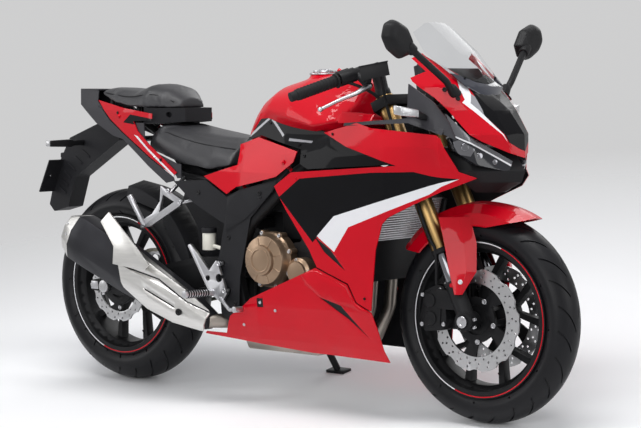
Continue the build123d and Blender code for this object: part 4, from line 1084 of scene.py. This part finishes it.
# the rings take chrome darkened as a painted dark reflection
setDown(joined(rings, "lamp_rings"), "chassis", darkReflectionChrome)

# Indicators: clear lenses on their dark bodies
signalForm = {"frontOut": 226, "rearOut": 96, "facing": 0.3}
signals = dressed["indicators"]
signals.data.materials.append(clearLens)
for face in signals.data.polygons:
    spot, facing = toBike @ face.center * 1000, bikeTurn @ face.normal
    front = spot.x > 1000 and abs(spot.y) > signalForm["frontOut"] and facing.x > -signalForm["facing"]
    rear = spot.x < 0 and abs(spot.y) > signalForm["rearOut"] and facing.x < signalForm["facing"]
    if front or rear:
        face.material_index = 1

# Fuel cap: ring of bolts on the neck, key cover on the lid
neckForm = {"x": 807, "ring": 40, "top": 999.6, "angles": range(50, 330, 46)}
neckBolts = []
for angle in neckForm["angles"]:
    across = neckForm["ring"] * math.sin(math.radians(angle))
    along = neckForm["x"] + neckForm["ring"] * math.cos(math.radians(angle))
    neckBolts.append((along, across, neckForm["top"], 0, 0, 1))
boltSet("neck_bolts", neckBolts, 3, 2.4)
keyCover = boxPiece((788, -9, 1006), (826, 9, 1011), 2.5, 3)
setDown(keyCover, "fuel_cap", alloy).name = "key_cover"
neckRing = rodPiece((807, 0, 994), (807, 0, 999.4), 47, 48, 1.5)
setDown(neckRing, "chassis", alloy).name = "neck_ring"

# Tail: hanger ribs, plate lamp, reflector
ribForm = {
    "rows": ((-292, 596), (-282, 622), (-268, 648), (-246, 674), (-214, 698), (-178, 720)), "in": 33, "out": 37,
}
hangerRibs = []
for x, z in ribForm["rows"]:
    rib = [(x - 34, z + 22), (x, z), (x + 5, z + 5), (x - 29, z + 27)]
    hangerRibs += [platePiece(rib, side * ribForm["in"], side * ribForm["out"], 0.8) for side in (-1, 1)]
hangerRibs.append(boxPiece((-322, -30, 716), (-286, 30, 734), 4, 2))
setDown(joined(hangerRibs, "hanger_ribs"), "chassis", mouldedBlack)
reflector = rodPiece((-362, 0, 578), (-371, 0, 580), 20, 32, 2)
setDown(reflector, "chassis", redLens).name = "rear_reflector"

# Muffler: outlet pipe, shield bolt, the plate that leans over the muffler, rivets
outlet = rodPiece((-40, -211, 480), (-70, -212.5, 493), 26, 32, 3)
setDown(outlet, "chassis", heated).name = "muffler_outlet"
boltSet("shield_bolts", spotsOn("muffler_shield", [(416, 266)], (-1,)), 11, 4, "chassis", castBlack)
armForm = {
    "outline": [(84, 531), (114, 562), (190, 508), (248, 467), (318, 408), (296, 388), (160, 402), (160, 457)],
    "plate": (-264, -259), "foot": 440, "lean": 0.25,
}
arm = platePiece(armForm["outline"], *armForm["plate"], 1.2)
for vert in arm.data.vertices:
    vert.co.y += max(vert.co.z - armForm["foot"] / 1000, 0) * armForm["lean"]
setDown(arm, "chassis", brushed).name = "shield_arm"
boltSet("cap_rivets", spotsOn("muffler_cap", [(-50, 520), (-52, 486), (-44, 452)], (-1,)), 4, 2)

# Foot controls: serrated pegs, bolts, the reservoir's cap
pegForm = {"root": (520, 184, 330), "run": (-12, 122, 2), "rings": 9, "first": 0.25, "step": 0.08, "ring": 0.04}
pegRings = []
for side in (-1, 1):
    root, run = (Vector((x, side * y, z)) for x, y, z in (pegForm["root"], pegForm["run"]))
    for k in range(pegForm["rings"]):
        t = pegForm["first"] + k * pegForm["step"]
        pegRings.append(rodPiece(root + run * t, root + run * (t + pegForm["ring"]), 12.6, 18, 1))
setDown(joined(pegRings, "peg_rings"), "chassis", rubber)
hangerForm = {
    "rider": (192, ((546, 420), (570, 338), (520, 330))), "pillion": (186, ((330, 634), (380, 600), (222, 524))),
}
hangerBolts = []
for out, places in hangerForm.values():
    hangerBolts += [(x, side * out, z, 0, side, 0) for x, z in places for side in (-1, 1)]
boltSet("hanger_bolts", hangerBolts, 8, 6)
fluidCap = rodPiece((468, -150, 508), (468, -150, 524), 23.5, 24, 2.5)
setDown(fluidCap, "chassis", mouldedBlack).name = "reservoir_cap"

# Dark parts inside: guard ahead of the rear wheel, pan under the seat, throttle bodies, back of the gearbox
guardForm = {
    "outline": [(290, 640), (400, 690), (520, 600), (520, 430), (440, 412), (352, 430), (336, 520), (275, 600)],
    "half": 66, "ribs": 5, "first": (380, 640), "step": (26, -40), "run": (60, -36),
}
guardParts = [platePiece(guardForm["outline"], -guardForm["half"], guardForm["half"], 5)]
for k in range(guardForm["ribs"]):
    x, z = (first + step * k for first, step in zip(guardForm["first"], guardForm["step"]))
    endX, endZ = x + guardForm["run"][0], z + guardForm["run"][1]
    guardParts += [rodPiece((x, side * 66, z), (endX, side * 67, endZ), 3.5, 10, 1) for side in (-1, 1)]
setDown(joined(guardParts, "wheel_guard"), "chassis", mouldedBlack)
panForm = {
    "outline": [(252, 764), (300, 730), (401, 690), (598, 730), (598, 690), (420, 640), (330, 652), (244, 738)],
    "half": 86,
}
pan = platePiece(panForm["outline"], -panForm["half"], panForm["half"], 5)
setDown(pan, "chassis", matteBlack).name = "seat_pan"
throttles = [boxPiece((556, -62, 476), (716, 62, 592), 14, 3)]
for side in (-1, 1):
    throttles += [
        rodPiece((600, side * 36, 560), (730, side * 36, 604), 30, 28, 4),
        rodPiece((600, side * 66, 530), (660, side * 66, 552), 12, 20, 3),
    ]
setDown(joined(throttles, "throttle_bodies"), "chassis", castBlack)
caseBack = [boxPiece((470, -54, 292), (606, 54, 384), 12, 3)] + [
    rodPiece((500 + 40 * k, -58, 300), (500 + 40 * k, -58, 376), 5, 12, 1.5)
    for k in range(3)
]
setDown(joined(caseBack, "gearbox_back"), "chassis", castBlack)

# Swingarm: chain adjusters, valve stems on the rims
adjusters = [boxPiece((-66, side * 136 - 3, 300), (-34, side * 136 + 3, 326), 2, 2) for side in (-1, 1)]
setDown(joined(adjusters, "chain_adjusters"), "chassis", alloy)
boltSet("adjuster_bolts", [(-70, side * 121, 312, -1, 0, 0) for side in (-1, 1)], 7, 10)
for body, x, z in (("front_wheel", 1410, 300), ("rear_wheel", 0, 312)):
    stemRod = rodPiece((x + 60, -8, z - 178), (x + 48, -16, z - 150), 4, 14, 1, 3)
    setDown(stemRod, body, rubber).name = body + "_valve"
print("small parts made")

# flat faces stay flat beside their rounded edges
for node in (
    "side_fairings", "lower_fairings", "upper_cowl", "side_covers", "tank_trim", "tail_panels", "tail_cover",
    "inner_panels", "frame_covers", "front_fender", "seat_bracket", "plate_hanger", "nose_duct",
):
    applyModifier(dressed[node], "WEIGHTED_NORMAL", keep_sharp=True)
print("normals weighted")

# Stage: pale floor that fades out, soft lights, and the photograph's camera
stageForm = {"floor": (0.95, 0.95, 0.955), "back": 0.62, "reach": 7.0}
bpy.ops.mesh.primitive_circle_add(vertices=96, radius=stageForm["reach"], fill_type="NGON", location=(0, 0, -0.0008))
floor = bpy.context.object
floor.name = "floor"
floorFinish = bpy.data.materials.new("paleFloor")
floorFinish.use_nodes = True
floorNodes, floorLinks = floorFinish.node_tree.nodes, floorFinish.node_tree.links
matte = floorNodes["Principled BSDF"]
matte.inputs["Base Color"].default_value = (*stageForm["floor"], 1)
matte.inputs["Roughness"].default_value = 0.75
fade = floorNodes.new("ShaderNodeTexGradient")
fade.gradient_type = "SPHERICAL"
fadePlace = floorNodes.new("ShaderNodeTexCoord")
fadeSize = floorNodes.new("ShaderNodeMapping")
fadeSize.inputs["Scale"].default_value = (0.16, 0.16, 0.16)
fadeRamp = floorNodes.new("ShaderNodeValToRGB")
fadeRamp.color_ramp.elements[0].position, fadeRamp.color_ramp.elements[1].position = 0.4, 0.8
seeThrough = floorNodes.new("ShaderNodeBsdfTransparent")
floorMix = floorNodes.new("ShaderNodeMixShader")
for source, target in (
    (fadePlace.outputs["Object"], fadeSize.inputs["Vector"]),
    (fadeSize.outputs["Vector"], fade.inputs["Vector"]),
    (fade.outputs["Fac"], fadeRamp.inputs["Fac"]),
    (fadeRamp.outputs["Color"], floorMix.inputs["Fac"]),
    (seeThrough.outputs["BSDF"], floorMix.inputs[1]),
    (matte.outputs["BSDF"], floorMix.inputs[2]),
    (floorMix.outputs["Shader"], floorNodes["Material Output"].inputs["Surface"]),
):
    floorLinks.new(source, target)
floor.data.materials.append(floorFinish)

world = bpy.data.worlds.new("studio")
world.use_nodes = True
bpy.context.scene.world = world
skyNodes, skyLinks = world.node_tree.nodes, world.node_tree.links
glow = skyNodes["Background"]
glow.inputs["Color"].default_value = (0.9, 0.93, 1.0, 1)
glow.inputs["Strength"].default_value = 0.3
backdrop = skyNodes.new("ShaderNodeBackground")
backdrop.inputs["Color"].default_value = (stageForm["back"], stageForm["back"], stageForm["back"] * 1.005, 1)
rays = skyNodes.new("ShaderNodeLightPath")
anyClear, anySeen = skyNodes.new("ShaderNodeMath"), skyNodes.new("ShaderNodeMath")
anyClear.operation = anySeen.operation = "MAXIMUM"
skyMix = skyNodes.new("ShaderNodeMixShader")
for source, target in (
    (rays.outputs["Is Camera Ray"], anyClear.inputs[0]),
    (rays.outputs["Is Transmission Ray"], anyClear.inputs[1]),
    (anyClear.outputs["Value"], anySeen.inputs[0]),
    (rays.outputs["Is Glossy Ray"], anySeen.inputs[1]),
    (anySeen.outputs["Value"], skyMix.inputs["Fac"]),
    (glow.outputs["Background"], skyMix.inputs[1]),
    (backdrop.outputs["Background"], skyMix.inputs[2]),
    (skyMix.outputs["Shader"], skyNodes["World Output"].inputs["Surface"]),
):
    skyLinks.new(source, target)

lampTable = {
    "overhead": {"at": (0.3, -0.7, 3.7), "toward": (0, 0, 0.5), "size": (4.0, 0.7), "power": 104},
    "keySide": {"at": (2.2, -4.4, 2.6), "toward": (0.1, 0, 0.6), "size": (3.2, 2.2), "power": 74},
    "frontFill": {"at": (5.2, 0.8, 1.9), "toward": (0.5, 0, 0.6), "size": (2.2, 2.6), "power": 50},
    "rearFill": {"at": (-4.2, -2.4, 2.4), "toward": (-0.5, 0, 0.6), "size": (2.4, 2.4), "power": 40},
    "farSide": {"at": (-0.6, 4.6, 2.8), "toward": (0, 0, 0.6), "size": (3.4, 2.2), "power": 60},
}
for name, lamp in lampTable.items():
    aim = (Vector(lamp["toward"]) - Vector(lamp["at"])).to_track_quat("-Z", "Y").to_euler()
    bpy.ops.object.light_add(type="AREA", location=lamp["at"], rotation=aim)
    light = bpy.context.object
    light.name = name
    light.data.shape = "RECTANGLE"
    light.data.size, light.data.size_y = lamp["size"]
    light.data.energy = lamp["power"]
    light.visible_transmission = False  # no lamp shows through the screen

cameraForm = {"azimuth": 39.56, "elevation": 3.78, "distance": 6276, "target": (789, 0, 572), "lens": 116.03}
azimuth, elevation = math.radians(cameraForm["azimuth"]), math.radians(cameraForm["elevation"])
look = Vector(
    (-math.sin(azimuth) * math.cos(elevation), math.cos(azimuth) * math.cos(elevation), -math.sin(elevation))
)
right = Vector((math.cos(azimuth), math.sin(azimuth), 0))
seat = mm(*cameraForm["target"]) - look * cameraForm["distance"] / 1000
stand = Matrix((right, right.cross(look), -look)).transposed().to_4x4()
bpy.ops.object.camera_add()
camera = bpy.context.object
camera.name = "photoCamera"
camera.matrix_world = toFloor @ Matrix.Translation(seat) @ stand
camera.data.lens = cameraForm["lens"]
camera.data.sensor_width = 36
camera.data.clip_end = 60
bpy.context.scene.camera = camera
bpy.context.scene.view_settings.view_transform = "Standard"
print("stage set")

bpy.context.view_layer.update()
